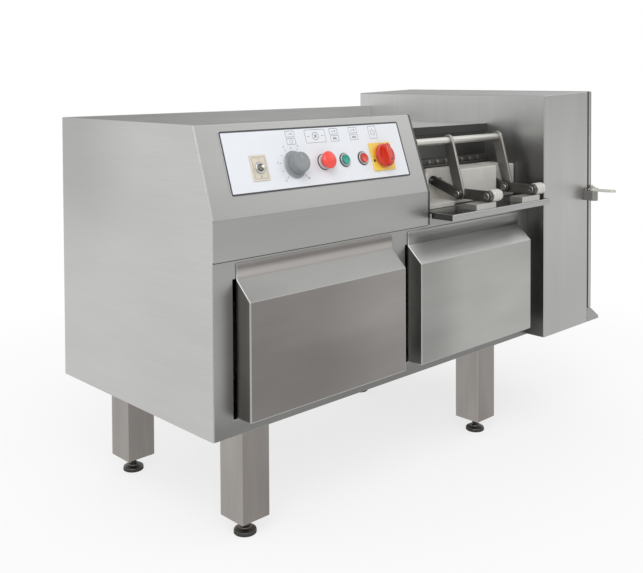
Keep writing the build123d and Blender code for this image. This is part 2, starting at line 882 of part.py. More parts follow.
# Ram rod with its piston, and the hydraulic cylinder bolted to the partition
feed_plane = Plane(origin=(0, y_feed, z_feed), x_dir=(1, 0, 0), z_dir=(0, -1, 0))
x_gland = x_partition - cylinder_cap
x_piston_stop = x_gland - piston_length - pusher_stroke - seat_gap
x_bore = x_piston_stop - seat_gap
with BuildPart() as ram_rod:
    with BuildSketch(feed_plane):
        Polygon(
            (x_piston_stop, 0),
            (x_piston_stop, piston_radius - running_clearance),
            (x_piston_stop + piston_length, piston_radius - running_clearance),
            (x_piston_stop + piston_length, rod_radius - running_clearance),
            (x_pusher, rod_radius - running_clearance),
            (x_pusher, 0),
        )
    revolve(axis=feed_axis)
ram_rod.part.label = "ram_rod"
export_step(ram_rod.part, "parts/ram_rod.step")

with BuildPart() as hydraulic_cylinder:
    with BuildSketch(feed_plane):
        Polygon(
            (x_bore - cylinder_cap, 0),
            (x_bore - cylinder_cap, piston_radius + cylinder_wall),
            (x_partition, piston_radius + cylinder_wall),
            (x_partition, rod_radius),
            (x_gland, rod_radius),
            (x_gland, piston_radius),
            (x_bore, piston_radius),
            (x_bore, 0),
        )
    revolve(axis=feed_axis)
    with BuildSketch(Plane.YZ.offset(x_partition)):
        with Locations((y_feed, z_feed)):
            Rectangle(cylinder_flange_size, cylinder_flange_size)
            Circle(piston_radius + cylinder_wall, mode=Mode.SUBTRACT)
    extrude(amount=-cylinder_flange)
    for x_port in (x_bore + 2 * cylinder_cap, x_gland - 2 * cylinder_cap):
        with BuildSketch(Plane.XY.offset(z_feed + piston_radius + cylinder_wall / 2)):
            with Locations((x_port, y_feed)):
                Circle(cylinder_wall)
        extrude(amount=2 * cylinder_wall)
hydraulic_cylinder.part.label = "hydraulic_cylinder"
export_step(hydraulic_cylinder.part, "parts/hydraulic_cylinder.step")

# Oil tank on the cross members
x_tank = x_left + tank_left
y_tank = y_front + tank_front
z_tank_top = z_rails + tank_height
with BuildPart() as oil_tank:
    block(x_tank, x_tank + tank_length, y_tank, y_tank + tank_width, z_rails, z_tank_top)
    chamfer(edges().filter_by(Axis.Z), tank_corner)
    block(
        x_tank + tank_wall,
        x_tank + tank_length - tank_wall,
        y_tank + tank_wall,
        y_tank + tank_width - tank_wall,
        z_rails + tank_wall,
        z_tank_top - tank_wall,
        Mode.SUBTRACT,
    )
    with Locations((x_tank + filler_inset, y_tank + tank_width - filler_inset, z_tank_top)):
        Cylinder(filler_radius, filler_height, align=(Align.CENTER, Align.CENTER, Align.MIN))
oil_tank.part.label = "oil_tank"
export_step(oil_tank.part, "parts/oil_tank.step")

# Electric motor on the tank: finned frame, fan cowl, terminal box and feet
x_motor = x_tank + motor_left
y_motor = y_tank + tank_width / 2 + motor_rear_offset
z_motor = z_tank_top + motor_axis_height
with BuildPart() as electric_motor:
    with BuildSketch(Plane.YZ.offset(x_motor + motor_radius / 2)):
        with Locations((y_motor, z_motor)):
            Circle(motor_radius)
            with PolarLocations(motor_radius, motor_fins):
                Rectangle(2 * motor_fin_height, sheet)
    extrude(amount=motor_length - motor_radius / 2)
    with BuildSketch(Plane.YZ.offset(x_motor)):
        with Locations((y_motor, z_motor)):
            Circle(motor_radius + motor_fin_height + sheet)
    extrude(amount=motor_radius / 2)
    block(
        x_motor + motor_length / 2,
        x_motor + motor_length - motor_foot_inset,
        y_motor - motor_foot_width / 2,
        y_motor + motor_foot_width / 2,
        z_tank_top,
        z_tank_top + motor_foot_height,
    )
    block(
        x_motor + motor_length / 2,
        x_motor + motor_length - motor_foot_inset,
        y_motor - motor_foot_width / 4,
        y_motor + motor_foot_width / 4,
        z_tank_top,
        z_motor,
    )
    block(
        x_motor + motor_length / 3,
        x_motor + motor_length * 2 / 3,
        y_motor,
        y_motor + motor_radius + terminal_reach,
        z_motor + terminal_bottom,
        z_motor + terminal_top,
    )
electric_motor.part.label = "electric_motor"
export_step(electric_motor.part, "parts/electric_motor.step")

# Hydraulic pump on the motor's bell housing, and the valve block on the tank
x_bell = x_motor + motor_length
with BuildPart() as hydraulic_pump:
    with BuildSketch(Plane.YZ.offset(x_bell)):
        with Locations((y_motor, z_motor)):
            Circle(bell_radius)
    extrude(amount=bell_length)
    with BuildSketch(Plane.YZ.offset(x_bell + bell_length)):
        with Locations((y_motor, z_motor)):
            chamfer(Rectangle(pump_width, pump_width).vertices(), pump_corner)
    extrude(amount=pump_length)
    block(
        x_tank + tank_length - valve_length - valve_inset,
        x_tank + tank_length - valve_inset,
        y_tank + valve_inset,
        y_tank + valve_inset + valve_width,
        z_tank_top,
        z_tank_top + valve_height,
    )
hydraulic_pump.part.label = "hydraulic_pump"
export_step(hydraulic_pump.part, "parts/hydraulic_pump.step")

# Knife housing: a tall shell with a sloping top, open at the bottom, with the door opening
# and the chute opening in its right side and the chamber outlet in its left side
z_door = z_bottom + door_bottom_height
z_housing_left = z_bottom + housing_left_height
z_housing_right = z_bottom + housing_right_height
y_knife = y_front + knife_axis_rear
z_knife = z_bottom + knife_axis_height
with BuildPart() as knife_housing:
    with BuildSketch(Plane.XZ.offset(-y_housing)):
        Polygon(
            (x_wall, z_bottom),
            (x_flange, z_bottom),
            (x_flange, z_housing_right),
            (x_wall, z_housing_left),
        )
    extrude(amount=-(y_housing_rear - y_housing))
    with BuildSketch(Plane.XZ.offset(-y_housing - housing_wall)):
        Polygon(
            (x_wall + housing_wall, z_bottom),
            (x_flange - housing_wall, z_bottom),
            (x_flange - housing_wall, z_housing_right - housing_wall),
            (x_wall + housing_wall, z_housing_left - housing_wall),
        )
    extrude(amount=-(y_housing_rear - y_housing - 2 * housing_wall), mode=Mode.SUBTRACT)
    with BuildSketch(Plane.YZ.offset(x_flange)):
        rect(y_housing + door_lip, z_door + door_lip, y_housing_rear - door_lip, z_housing_right - door_lip)
        rect(y_housing + housing_wall, z_bottom, y_housing_rear - housing_wall, z_door - housing_wall)
    extrude(amount=-housing_wall, mode=Mode.SUBTRACT)
    with BuildSketch(Plane.YZ.offset(x_wall)):
        rect(y_chamber, z_shelf, y_chamber_back, z_shelf + chamber_height)
        with Locations((y_knife, z_knife)):
            Circle(shaft_radius + shaft_hole_play)
    extrude(amount=housing_wall, mode=Mode.SUBTRACT)
knife_housing.part.label = "knife_housing"
export_step(knife_housing.part, "parts/knife_housing.step")

# Door gasket on the flange of the housing
with BuildPart() as door_gasket:
    with BuildSketch(Plane.YZ.offset(x_flange)):
        rect(y_housing, z_door, y_housing_rear, z_housing_right)
        rect(
            y_housing + gasket_width,
            z_door + gasket_width,
            y_housing_rear - gasket_width,
            z_housing_right - gasket_width,
            Mode.SUBTRACT,
        )
    extrude(amount=gasket_thickness)
door_gasket.part.label = "door_gasket"
export_step(door_gasket.part, "parts/door_gasket.step")

# Discharge chute: a flared skirt below the door, open at the bottom
with BuildPart() as discharge_chute:
    with BuildSketch(Plane.XZ.offset(-y_housing)):
        chute_line = [
            (x_flange, z_door - seat_gap),
            (x_door_out, z_door - seat_gap),
            (x_chute, z_bottom + chute_lip),
            (x_chute, z_bottom),
        ]
        Polygon(*chute_line, (x_flange, z_bottom))
    extrude(amount=-(y_housing_rear - y_housing))
    with BuildSketch(Plane.XZ.offset(-y_housing - sheet)):
        Polygon(*folded(chute_line, -sheet)[4:], (x_flange, z_bottom))
    extrude(amount=-(y_housing_rear - y_housing - 2 * sheet), mode=Mode.SUBTRACT)
discharge_chute.part.label = "discharge_chute"
export_step(discharge_chute.part, "parts/discharge_chute.step")

# Side door: a shallow pan that closes on the gasket
y_door_rear = y_housing_rear - door_rear_inset
z_door_top = z_housing_right + door_overlap
with BuildPart() as side_door:
    block(x_door, x_door_out, y_housing, y_door_rear, z_door, z_door_top)
    chamfer(edges().filter_by(Axis.Z).group_by(Axis.X)[-1], door_skin / 2)
    block(
        x_door,
        x_door_out - door_skin,
        y_housing + gasket_width,
        y_door_rear - gasket_width,
        z_door + gasket_width,
        z_door_top - gasket_width,
        Mode.SUBTRACT,
    )
side_door.part.label = "side_door"
export_step(side_door.part, "parts/side_door.step")

# Hinges on the back: a fixed leaf with the pin, and the knuckle on the door
x_hinge = (x_door + x_door_out) / 2
y_hinge = y_housing_rear + hinge_offset
hinge_heights = (z_door + hinge_inset, z_door_top - hinge_inset - hinge_length)
knuckle = hinge_length / 3
with BuildPart() as hinge_leaves:
    for z_hinge in hinge_heights:
        for z_knuckle in (z_hinge, z_hinge + 2 * knuckle):
            with BuildSketch(Plane.XY.offset(z_knuckle)):
                with Locations((x_hinge, y_hinge)):
                    Circle(hinge_radius)
                rect(x_hinge - hinge_leaf_gauge, y_housing_rear + hinge_pack, x_hinge, y_hinge)
                rect(
                    x_flange - hinge_leaf_width,
                    y_housing_rear + hinge_pack,
                    x_hinge,
                    y_housing_rear + hinge_pack + hinge_leaf_gauge,
                )
            extrude(amount=knuckle)
        block(
            x_flange - hinge_leaf_width,
            x_flange,
            y_housing_rear,
            y_housing_rear + hinge_pack + hinge_leaf_gauge,
            z_hinge,
            z_hinge + hinge_length,
        )
        with BuildSketch(Plane.XY.offset(z_hinge)):
            with Locations((x_hinge, y_hinge)):
                Circle(hinge_pin_radius)
        extrude(amount=hinge_length)
hinge_leaves.part.label = "hinge_leaves"
export_step(hinge_leaves.part, "parts/hinge_leaves.step")

# Door fittings: the hinge knuckles and the keeper that the latch presses on
z_latch = z_bottom + latch_height
with BuildPart() as door_fittings:
    for z_hinge in hinge_heights:
        with BuildSketch(Plane.XY.offset(z_hinge + knuckle + seat_gap)):
            with Locations((x_hinge, y_hinge)):
                Circle(hinge_radius)
            rect(x_hinge, y_door_rear, x_door_out - seat_gap, y_hinge)
            with Locations((x_hinge, y_hinge)):
                Circle(hinge_pin_radius + running_clearance, mode=Mode.SUBTRACT)
        extrude(amount=knuckle - 2 * seat_gap)
    block(
        x_door + keeper_left,
        x_door_out - keeper_right,
        y_housing - keeper_reach,
        y_housing,
        z_latch,
        z_latch + keeper_height,
    )
door_fittings.part.label = "door_fittings"
export_step(door_fittings.part, "parts/door_fittings.step")

# Latch bracket on the front of the housing, and the latch with its paddle
x_latch = x_flange - latch_pivot_inset
y_latch = y_housing - latch_pivot_forward
with BuildPart() as latch_bracket:
    with BuildSketch(Plane.XY.offset(z_latch - latch_bracket_height - seat_gap)):
        with Locations((x_latch, y_latch)):
            Circle(latch_bracket_width / 2)
        rect(x_latch - latch_bracket_width / 2, y_latch, x_latch + latch_bracket_width / 2, y_housing)
        with Locations((x_latch, y_latch)):
            Circle(latch_pin_radius + running_clearance, mode=Mode.SUBTRACT)
    extrude(amount=latch_bracket_height)
latch_bracket.part.label = "latch_bracket"
export_step(latch_bracket.part, "parts/latch_bracket.step")

with BuildPart() as door_latch:
    with BuildSketch(Plane.XY.offset(z_latch)):
        with Locations((x_latch, y_latch)):
            Circle(latch_boss_radius)
        with Locations((x_latch + latch_paddle_lean, y_latch - latch_paddle_length)):
            Circle(latch_pad_radius)
        make_hull()
        rect(
            x_latch,
            y_latch,
            x_latch + latch_nose_length,
            y_housing - keeper_reach - seat_gap,
        )
    extrude(amount=latch_plate)
    with BuildSketch(Plane.XY.offset(z_latch)):
        with Locations((x_latch, y_latch)):
            Circle(latch_pin_radius)
    extrude(amount=-latch_pin_length)
    with BuildSketch(Plane.XY.offset(z_latch + latch_plate)):
        with Locations((x_latch, y_latch)):
            Circle(latch_boss_radius - latch_cap_inset)
    extrude(amount=latch_cap_height)
door_latch.part.label = "door_latch"
export_step(door_latch.part, "parts/door_latch.step")

# Grid carrier round the chamber outlet, with the retainer that keeps the grids in
x_grids = x_wall + housing_wall
pocket = grid_frame_size + 2 * seat_gap
carrier_size = grid_frame_size + 2 * grid_play + 2 * carrier_wall
carrier_length = carrier_floor + 2 * grid_thickness + 3 * seat_gap + retainer_thickness
x_first_grid = x_grids + carrier_floor + seat_gap
x_second_grid = x_first_grid + grid_thickness + seat_gap
with BuildPart() as grid_carrier:
    with BuildSketch(Plane.YZ.offset(x_grids)):
        with Locations((y_feed, z_feed)):
            Rectangle(carrier_size, carrier_size)
            Rectangle(chamber_width, chamber_height, mode=Mode.SUBTRACT)
    extrude(amount=carrier_length)
    with BuildSketch(Plane.YZ.offset(x_grids + carrier_floor)):
        with Locations((y_feed, z_feed)):
            Rectangle(pocket, grid_frame_size + 2 * grid_play)
    extrude(amount=grid_thickness + 1.5 * seat_gap, mode=Mode.SUBTRACT)
    with BuildSketch(Plane.YZ.offset(x_grids + carrier_floor + grid_thickness + 1.5 * seat_gap)):
        with Locations((y_feed, z_feed)):
            Rectangle(grid_frame_size + 2 * grid_play, pocket)
    extrude(amount=grid_thickness + 1.5 * seat_gap, mode=Mode.SUBTRACT)
    with BuildSketch(Plane.YZ.offset(x_grids + carrier_length)):
        with Locations((y_feed, z_feed)):
            Rectangle(retainer_window, retainer_window)
    extrude(amount=-retainer_thickness, mode=Mode.SUBTRACT)
grid_carrier.part.label = "grid_carrier"
export_step(grid_carrier.part, "parts/grid_carrier.step")

# Grids: frames with a row of thin blades, one with upright and one with level blades
blade_count = int(chamber_width / grid_pitch)
for grid_name, x_grid, across, along in (
    ("vertical_grid", x_first_grid, 1, 0),
    ("horizontal_grid", x_second_grid, 0, 1),
):
    with BuildPart() as blade_grid:
        with BuildSketch(Plane.YZ.offset(x_grid)):
            with Locations((y_feed, z_feed)):
                chamfer(Rectangle(grid_frame_size, grid_frame_size).vertices(), grid_corner)
                Rectangle(chamber_width, chamber_height, mode=Mode.SUBTRACT)
                with GridLocations(
                    across * grid_pitch,
                    along * grid_pitch,
                    across * (blade_count - 1) + 1,
                    along * (blade_count - 1) + 1,
                ):
                    Rectangle(
                        blade_thickness if across else chamber_width,
                        blade_thickness if along else chamber_height,
                    )
        extrude(amount=grid_thickness)
    blade_grid.part.label = grid_name
    export_step(blade_grid.part, f"parts/{grid_name}.step")

# Cut-off knife on its shaft, turning in the bearing on the housing wall
x_knife = x_grids + carrier_length + knife_gap
knife_plane = Plane(origin=(0, y_knife, z_knife), x_dir=(1, 0, 0), z_dir=(0, -1, 0))
knife_axis = Axis((0, y_knife, z_knife), (1, 0, 0))
with BuildPart() as knife_bearing:
    with BuildSketch(Plane.YZ.offset(x_grids)):
        with Locations((y_knife, z_knife)):
            Rectangle(bearing_flange_size, bearing_flange_size)
    extrude(amount=bearing_flange)
    with BuildSketch(Plane.YZ.offset(x_grids + bearing_flange)):
        with Locations((y_knife, z_knife)):
            Circle(bearing_radius)
    extrude(amount=bearing_length - bearing_flange)
    with BuildSketch(Plane.YZ.offset(x_grids)):
        with Locations((y_knife, z_knife)):
            Circle(shaft_radius + running_clearance)
    extrude(amount=bearing_length, mode=Mode.SUBTRACT)
knife_bearing.part.label = "knife_bearing"
export_step(knife_bearing.part, "parts/knife_bearing.step")

x_shaft = x_wall - shaft_depth
x_shaft_end = x_knife + knife_thickness + knife_nut_length
with BuildPart() as knife_shaft:
    with BuildSketch(knife_plane):
        Polygon(
            (x_shaft, 0),
            (x_shaft, shaft_radius),
            (x_knife + knife_thickness, shaft_radius),
            (x_knife + knife_thickness, knife_nut_radius),
            (x_shaft_end, knife_nut_radius),
            (x_shaft_end, 0),
        )
    revolve(axis=knife_axis)
knife_shaft.part.label = "knife_shaft"
export_step(knife_shaft.part, "parts/knife_shaft.step")

# The knife hangs down at rest: its edge sweeps out from the hub to the tip
with BuildPart() as cutoff_knife:
    with BuildSketch(Plane.YZ.offset(x_knife)):
        with BuildLine():
            ThreePointArc(
                (y_knife + knife_hub_radius, z_knife),
                (y_knife + 0.4 * knife_radius, z_knife - 0.55 * knife_radius),
                (y_knife, z_knife - knife_radius),
            )
            ThreePointArc(
                (y_knife, z_knife - knife_radius),
                (y_knife - 0.1 * knife_radius, z_knife - 0.6 * knife_radius),
                (y_knife - knife_hub_radius, z_knife),
            )
            Line((y_knife - knife_hub_radius, z_knife), (y_knife + knife_hub_radius, z_knife))
        make_face()
        with Locations((y_knife, z_knife)):
            Circle(knife_hub_radius)
            Circle(shaft_radius, mode=Mode.SUBTRACT)
    extrude(amount=knife_thickness)
cutoff_knife.part.label = "cutoff_knife"
export_step(cutoff_knife.part, "parts/cutoff_knife.step")

# Knife gearmotor on the other side of the wall
with BuildPart() as knife_gearmotor:
    with BuildSketch(Plane.YZ.offset(x_wall)):
        with Locations((y_knife, z_knife)):
            chamfer(Rectangle(gearbox_width, gearbox_height).vertices(), gearbox_corner)
    extrude(amount=-gearbox_length)
    with BuildSketch(Plane.YZ.offset(x_wall - gearbox_length)):
        with Locations((y_knife, z_knife)):
            Circle(gearmotor_radius)
            with PolarLocations(gearmotor_radius, motor_fins):
                Rectangle(2 * motor_fin_height, sheet)
    extrude(amount=-gearmotor_length)
    with BuildSketch(Plane.YZ.offset(x_wall)):
        with Locations((y_knife, z_knife)):
            Circle(shaft_radius + running_clearance)
    extrude(amount=-shaft_depth - seat_gap, mode=Mode.SUBTRACT)
knife_gearmotor.part.label = "knife_gearmotor"
export_step(knife_gearmotor.part, "parts/knife_gearmotor.step")

# Control panel plane: x along the panel, y up the slope from the shoulder, z outwards
slope_angle = atan2(z_top - z_shoulder, y_slope - y_hood)
slope_up = (0, cos(slope_angle), sin(slope_angle))
slope_out = (0, -sin(slope_angle), cos(slope_angle))
panel_plane = Plane(origin=(x_left, y_hood, z_shoulder), x_dir=(1, 0, 0), z_dir=slope_out)


def control_point(place):
    """Point on the panel's control row."""
    return (
        x_left + place,
        y_hood + control_row * slope_up[1],
        z_shoulder + control_row * slope_up[2],
    )


def turning_plane(place):
    """Plane through a control's axis, for a profile of radius and height above the hood."""
    return Plane(origin=control_point(place), x_dir=(1, 0, 0), z_dir=(0, -slope_up[1], -slope_up[2]))


def turning_axis(place):
    """Axis of a control, square to the slope."""
    return Axis(control_point(place), slope_out)


# Control plate on the slope
with BuildPart() as control_plate:
    with BuildSketch(panel_plane):
        rect(plate_left, plate_bottom, plate_left + plate_length, plate_bottom + plate_height)
    extrude(amount=plate_thickness)
control_plate.part.label = "control_plate"
export_step(control_plate.part, "parts/control_plate.step")

# Plate and collar of the toggle switch
with BuildPart() as toggle_plate:
    with BuildSketch(panel_plane.offset(plate_thickness)):
        with Locations((toggle_place, control_row)):
            Rectangle(toggle_plate_width, toggle_plate_height)
    extrude(amount=toggle_plate_thickness)
    with BuildSketch(panel_plane.offset(plate_thickness + toggle_plate_thickness)):
        with Locations((toggle_place, control_row)):
            Circle(toggle_collar_radius)
            Circle(toggle_radius + toggle_play, mode=Mode.SUBTRACT)
    extrude(amount=toggle_collar_height)
toggle_plate.part.label = "toggle_plate"
export_step(toggle_plate.part, "parts/toggle_plate.step")

# Toggle lever
with BuildPart() as toggle_lever:
    toggle_foot = plate_thickness + toggle_plate_thickness + toggle_lift
    with BuildSketch(turning_plane(toggle_place)):
        Polygon(
            (0, toggle_foot),
            (toggle_radius, toggle_foot),
            (toggle_radius, toggle_foot + toggle_length),
            (0, toggle_foot + toggle_length),
        )
    revolve(axis=turning_axis(toggle_place))
toggle_lever.part.label = "toggle_lever"
export_step(toggle_lever.part, "parts/toggle_lever.step")

# Speed knob: a wide skirt and the grip
with BuildPart() as speed_knob:
    knob_base = plate_thickness + seat_gap
    with BuildSketch(turning_plane(knob_place)):
        Polygon(
            (0, knob_base),
            (knob_skirt_radius, knob_base),
            (knob_skirt_radius, knob_base + knob_skirt_height),
            (knob_radius, knob_base + knob_skirt_height),
            (knob_radius, knob_base + knob_height),
            (0, knob_base + knob_height),
        )
    revolve(axis=turning_axis(knob_place))
speed_knob.part.label = "speed_knob"
export_step(speed_knob.part, "parts/speed_knob.step")

# Collars of the three buttons
with BuildPart() as button_collars:
    for place, outer, inner, height in (
        (estop_place, collar_radius, cap_radius, collar_height),
        (start_place, bezel_radius, cap_radius + seat_gap, bezel_height),
        (stop_place, bezel_radius, cap_radius + seat_gap, bezel_height),
    ):
        with BuildSketch(turning_plane(place)):
            Polygon(
                (inner, plate_thickness),
                (outer, plate_thickness),
                (outer, plate_thickness + height),
                (inner, plate_thickness + height),
            )
        revolve(axis=turning_axis(place))
button_collars.part.label = "button_collars"
export_step(button_collars.part, "parts/button_collars.step")

# Mushroom head of the emergency stop
with BuildPart() as estop_head:
    head = plate_thickness + collar_height + estop_travel + seat_gap
    with BuildSketch(turning_plane(estop_place)):
        Polygon(
            (0, plate_thickness + estop_travel + seat_gap),
            (cap_radius - seat_gap, plate_thickness + estop_travel + seat_gap),
            (cap_radius - seat_gap, head + estop_neck),
            (estop_radius, head + estop_neck),
            (estop_radius, head + estop_rim_top),
            (estop_crown_radius, estop_height),
            (0, estop_height),
        )
    revolve(axis=turning_axis(estop_place))
estop_head.part.label = "estop_head"
export_step(estop_head.part, "parts/estop_head.step")

# Start and stop buttons
for button_name, place in (("start_button", start_place), ("stop_button", stop_place)):
    with BuildPart() as push_button:
        with BuildSketch(turning_plane(place)):
            Polygon(
                (0, plate_thickness + cap_travel + seat_gap),
                (cap_radius, plate_thickness + cap_travel + seat_gap),
                (cap_radius, plate_thickness + cap_height),
                (0, plate_thickness + cap_height),
            )
        revolve(axis=turning_axis(place))
    push_button.part.label = button_name
    export_step(push_button.part, f"parts/{button_name}.step")

# Main switch: square plate, and a round knob with a raised grip
with BuildPart() as main_switch_plate:
    with BuildSketch(panel_plane.offset(plate_thickness)):
        with Locations((switch_place, control_row)):
            Rectangle(switch_plate_width, switch_plate_height)
    extrude(amount=switch_plate_thickness)
main_switch_plate.part.label = "main_switch_plate"
export_step(main_switch_plate.part, "parts/main_switch_plate.step")

with BuildPart() as main_switch_knob:
    knob_seat = plate_thickness + switch_plate_thickness + seat_gap
    with BuildSketch(turning_plane(switch_place)):
        Polygon(
            (0, knob_seat),
            (switch_knob_radius, knob_seat),
            (switch_knob_radius, knob_seat + switch_disc_height),
            (0, knob_seat + switch_disc_height),
        )
    revolve(axis=turning_axis(switch_place))
    with BuildSketch(panel_plane.offset(knob_seat + switch_disc_height)):
        with Locations((switch_place, control_row)):
            chamfer(Rectangle(switch_grip_width, switch_grip_length).vertices(), switch_grip_corner)
    extrude(amount=switch_knob_height - switch_disc_height)
main_switch_knob.part.label = "main_switch_knob"
export_step(main_switch_knob.part, "parts/main_switch_knob.step")

# Cable gland on the rear panel
gland_plane = Plane.XZ.offset(-y_rear)
with BuildPart() as cable_gland:
    with BuildSketch(gland_plane):
        with Locations((x_left + gland_inset, z_bottom + gland_height)):
            RegularPolygon(gland_radius, 6, major_radius=False)
            Circle(gland_bore, mode=Mode.SUBTRACT)
    extrude(amount=-gland_length / 3)
    with BuildSketch(Plane.XZ.offset(-y_rear - gland_length / 3)):
        with Locations((x_left + gland_inset, z_bottom + gland_height)):
            Circle(gland_cap_radius)
            Circle(gland_bore, mode=Mode.SUBTRACT)
    extrude(amount=-gland_length * 2 / 3)
cable_gland.part.label = "cable_gland"
export_step(cable_gland.part, "parts/cable_gland.step")
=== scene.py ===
import json
from math import cos, pi, radians, sin

import bmesh
import bpy
import numpy as np
from bpy.props import FloatProperty, FloatVectorProperty, IntProperty, PointerProperty
from mathutils import Matrix, Vector
from mathutils.bvhtree import BVHTree

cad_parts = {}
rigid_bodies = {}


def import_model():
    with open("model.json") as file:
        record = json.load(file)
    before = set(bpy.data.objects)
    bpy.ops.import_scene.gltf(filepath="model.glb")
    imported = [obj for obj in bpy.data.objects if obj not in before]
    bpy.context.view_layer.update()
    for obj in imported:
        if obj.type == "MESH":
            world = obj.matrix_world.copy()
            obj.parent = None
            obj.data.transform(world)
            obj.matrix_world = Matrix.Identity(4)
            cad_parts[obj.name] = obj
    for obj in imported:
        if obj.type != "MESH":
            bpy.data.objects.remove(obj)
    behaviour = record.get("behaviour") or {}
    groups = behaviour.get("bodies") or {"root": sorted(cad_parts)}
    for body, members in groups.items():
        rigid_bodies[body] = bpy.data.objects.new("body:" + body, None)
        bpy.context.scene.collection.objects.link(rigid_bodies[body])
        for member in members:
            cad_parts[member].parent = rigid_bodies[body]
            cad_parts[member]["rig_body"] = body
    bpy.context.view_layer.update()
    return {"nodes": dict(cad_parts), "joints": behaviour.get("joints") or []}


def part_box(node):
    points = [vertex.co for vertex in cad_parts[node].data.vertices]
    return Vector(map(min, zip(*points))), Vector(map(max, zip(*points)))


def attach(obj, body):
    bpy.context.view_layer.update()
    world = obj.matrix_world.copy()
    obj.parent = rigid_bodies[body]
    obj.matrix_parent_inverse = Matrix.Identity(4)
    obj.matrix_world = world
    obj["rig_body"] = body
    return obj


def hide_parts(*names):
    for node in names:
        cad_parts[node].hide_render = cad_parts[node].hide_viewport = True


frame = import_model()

bl_info = {
    "name": "Strip cutting machine",
    "version": (1, 0, 0),
    "blender": (4, 5, 0),
    "location": "3D View > Sidebar > Strip cutter",
    "description": "Dresses the packed strip cutting machine with rounded sheet metal, controls and finishes",
    "category": "Object",
}

JOINT_OF = {joint["name"]: joint for joint in frame["joints"]}
MM = 0.001
HEXAGON = 6
# Points nearer than these are one point, in a new piece and in a copy of a CAD solid
MERGE_DISTANCE, CAD_MERGE_DISTANCE = 0.0001 * MM, 0.002 * MM
# Faces that meet at less than the first are one face, and at less than the second one curved skin
FLAT_ANGLE, FOLD_ANGLE = radians(0.6), radians(18.2)
SHORTEST_EDGE = 0.4 * MM
PROBE_INSET, PROBE_DEPTH = 0.3 * MM, 0.01 * MM
# Directions that faces look in, the last one that of the covers' slanted tops
X_AXIS, Y_AXIS, Z_AXIS = (1, 0, 0), (0, 1, 0), (0, 0, 1)
TO_FRONT, TO_FLOOR, TO_LEFT = (0, -1, 0), (0, 0, -1), (-1, 0, 0)
COVER_SLOPE = (0.0, -0.811, 0.585)


def srgb(code):
    """Linear colour of an sRGB hex value."""
    parts = np.array([int(code[place:place + 2], 16) for place in (1, 3, 5)]) / 255
    linear = np.where(parts <= 0.04045, parts / 12.92, ((parts + 0.055) / 1.055) ** 2.4)
    return tuple(float(part) for part in linear)


# The sizes and colours that a user would change

class SheetMetalSettings(bpy.types.PropertyGroup):
    bend_radius: FloatProperty(
        name="Bend radius", description="Outer radius of the folded sheet edges",
        default=0.0028, unit="LENGTH")
    rim_radius: FloatProperty(
        name="Rim radius", description="Largest rounding of a cut sheet edge",
        default=0.0007, unit="LENGTH")
    side_colour: FloatVectorProperty(
        name="Sheet colour", description="Brushed stainless sheet of the cabinet",
        default=srgb("#C4C4C3"), subtype="COLOR")
    # The hood, frame and cover colours are the side sheet darkened as painted shade of the front faces
    hood_colour: FloatVectorProperty(
        name="Hood colour", description="Brushed stainless sheet of the control hood",
        default=srgb("#AAAAA8"), subtype="COLOR")
    frame_colour: FloatVectorProperty(
        name="Frame colour", description="Brushed stainless sheet round the covers",
        default=srgb("#A3A3A1"), subtype="COLOR")
    left_cover_colour: FloatVectorProperty(
        name="Left cover colour", description="Brushed stainless sheet of the left service cover",
        default=srgb("#96928F"), subtype="COLOR")
    right_cover_colour: FloatVectorProperty(
        name="Right cover colour", description="Brushed stainless sheet of the right service cover",
        default=srgb("#AEAEAB"), subtype="COLOR")
    tube_colour: FloatVectorProperty(
        name="Tube colour", description="Ground stainless tube of the legs",
        default=srgb("#A8A39F"), subtype="COLOR")
    # Painted highlight on the rounded folds: a thin line of light
    fold_colour: FloatVectorProperty(
        name="Fold colour", description="Folds and welded edges, ground bright",
        default=srgb("#ACACA9"), subtype="COLOR")


class PressSettings(bpy.types.PropertyGroup):
    edge_radius: FloatProperty(
        name="Edge radius", description="Rounding of the levers, arms and links",
        default=0.0012, unit="LENGTH")
    nylon_colour: FloatVectorProperty(
        name="Nylon colour", description="Jaw, pivot blocks and pusher",
        default=srgb("#D2CFC9"), subtype="COLOR")
    lever_colour: FloatVectorProperty(
        name="Lever colour", description="Blackened steel of the levers and links",
        default=srgb("#64625F"), subtype="COLOR")
    bolt_spacing: FloatProperty(
        name="Bolt spacing", description="Distance between the bolts of the clamp bar",
        default=0.036, unit="LENGTH")


class ControlSettings(bpy.types.PropertyGroup):
    plate_colour: FloatVectorProperty(
        name="Plate colour", description="White laminate of the control plate",
        default=srgb("#DFE2E7"), subtype="COLOR")
    border_width: FloatProperty(
        name="Border width", description="Printed border round the control plate",
        default=0.00405, unit="LENGTH")
    dial_marks: IntProperty(
        name="Dial marks", description="Marks round the speed knob", default=11)
    knob_flutes: IntProperty(
        name="Knob flutes", description="Flutes round the grip of the speed knob", default=24)


class StageSettings(bpy.types.PropertyGroup):
    focal_length: FloatProperty(
        name="Focal length", description="Lens of the camera on a 36 mm sensor", default=51.047)
    key_power: FloatProperty(
        name="Key power", description="Power of the large lamp at the upper left",
        default=70.0, unit="POWER")
    fill_power: FloatProperty(
        name="Fill power", description="Power of the lamp high on the right",
        default=15.0, unit="POWER")
    world_strength: FloatProperty(
        name="World strength", description="Strength of the world on matt surfaces", default=0.62)


# Materials

def add(tree, kind, values=None, links=None, **settings):
    """Adds a node with its settings, its socket values and its links. A link comes from an output,
    or from a node, which stands for its first output."""
    node = tree.nodes.new(kind)
    for name, value in settings.items():
        setattr(node, name, value)
    for name, value in (values or {}).items():
        node.inputs[name].default_value = value
    for name, source in (links or {}).items():
        output = source.outputs[0] if isinstance(source, bpy.types.Node) else source
        tree.links.new(output, node.inputs[name])
    return node


def limits(low, high, start=0.3, end=0.7):
    """Values of a Map Range node. A noise mostly lies between 0.3 and 0.7."""
    return {"From Min": start, "From Max": end, "To Min": low, "To Max": high}


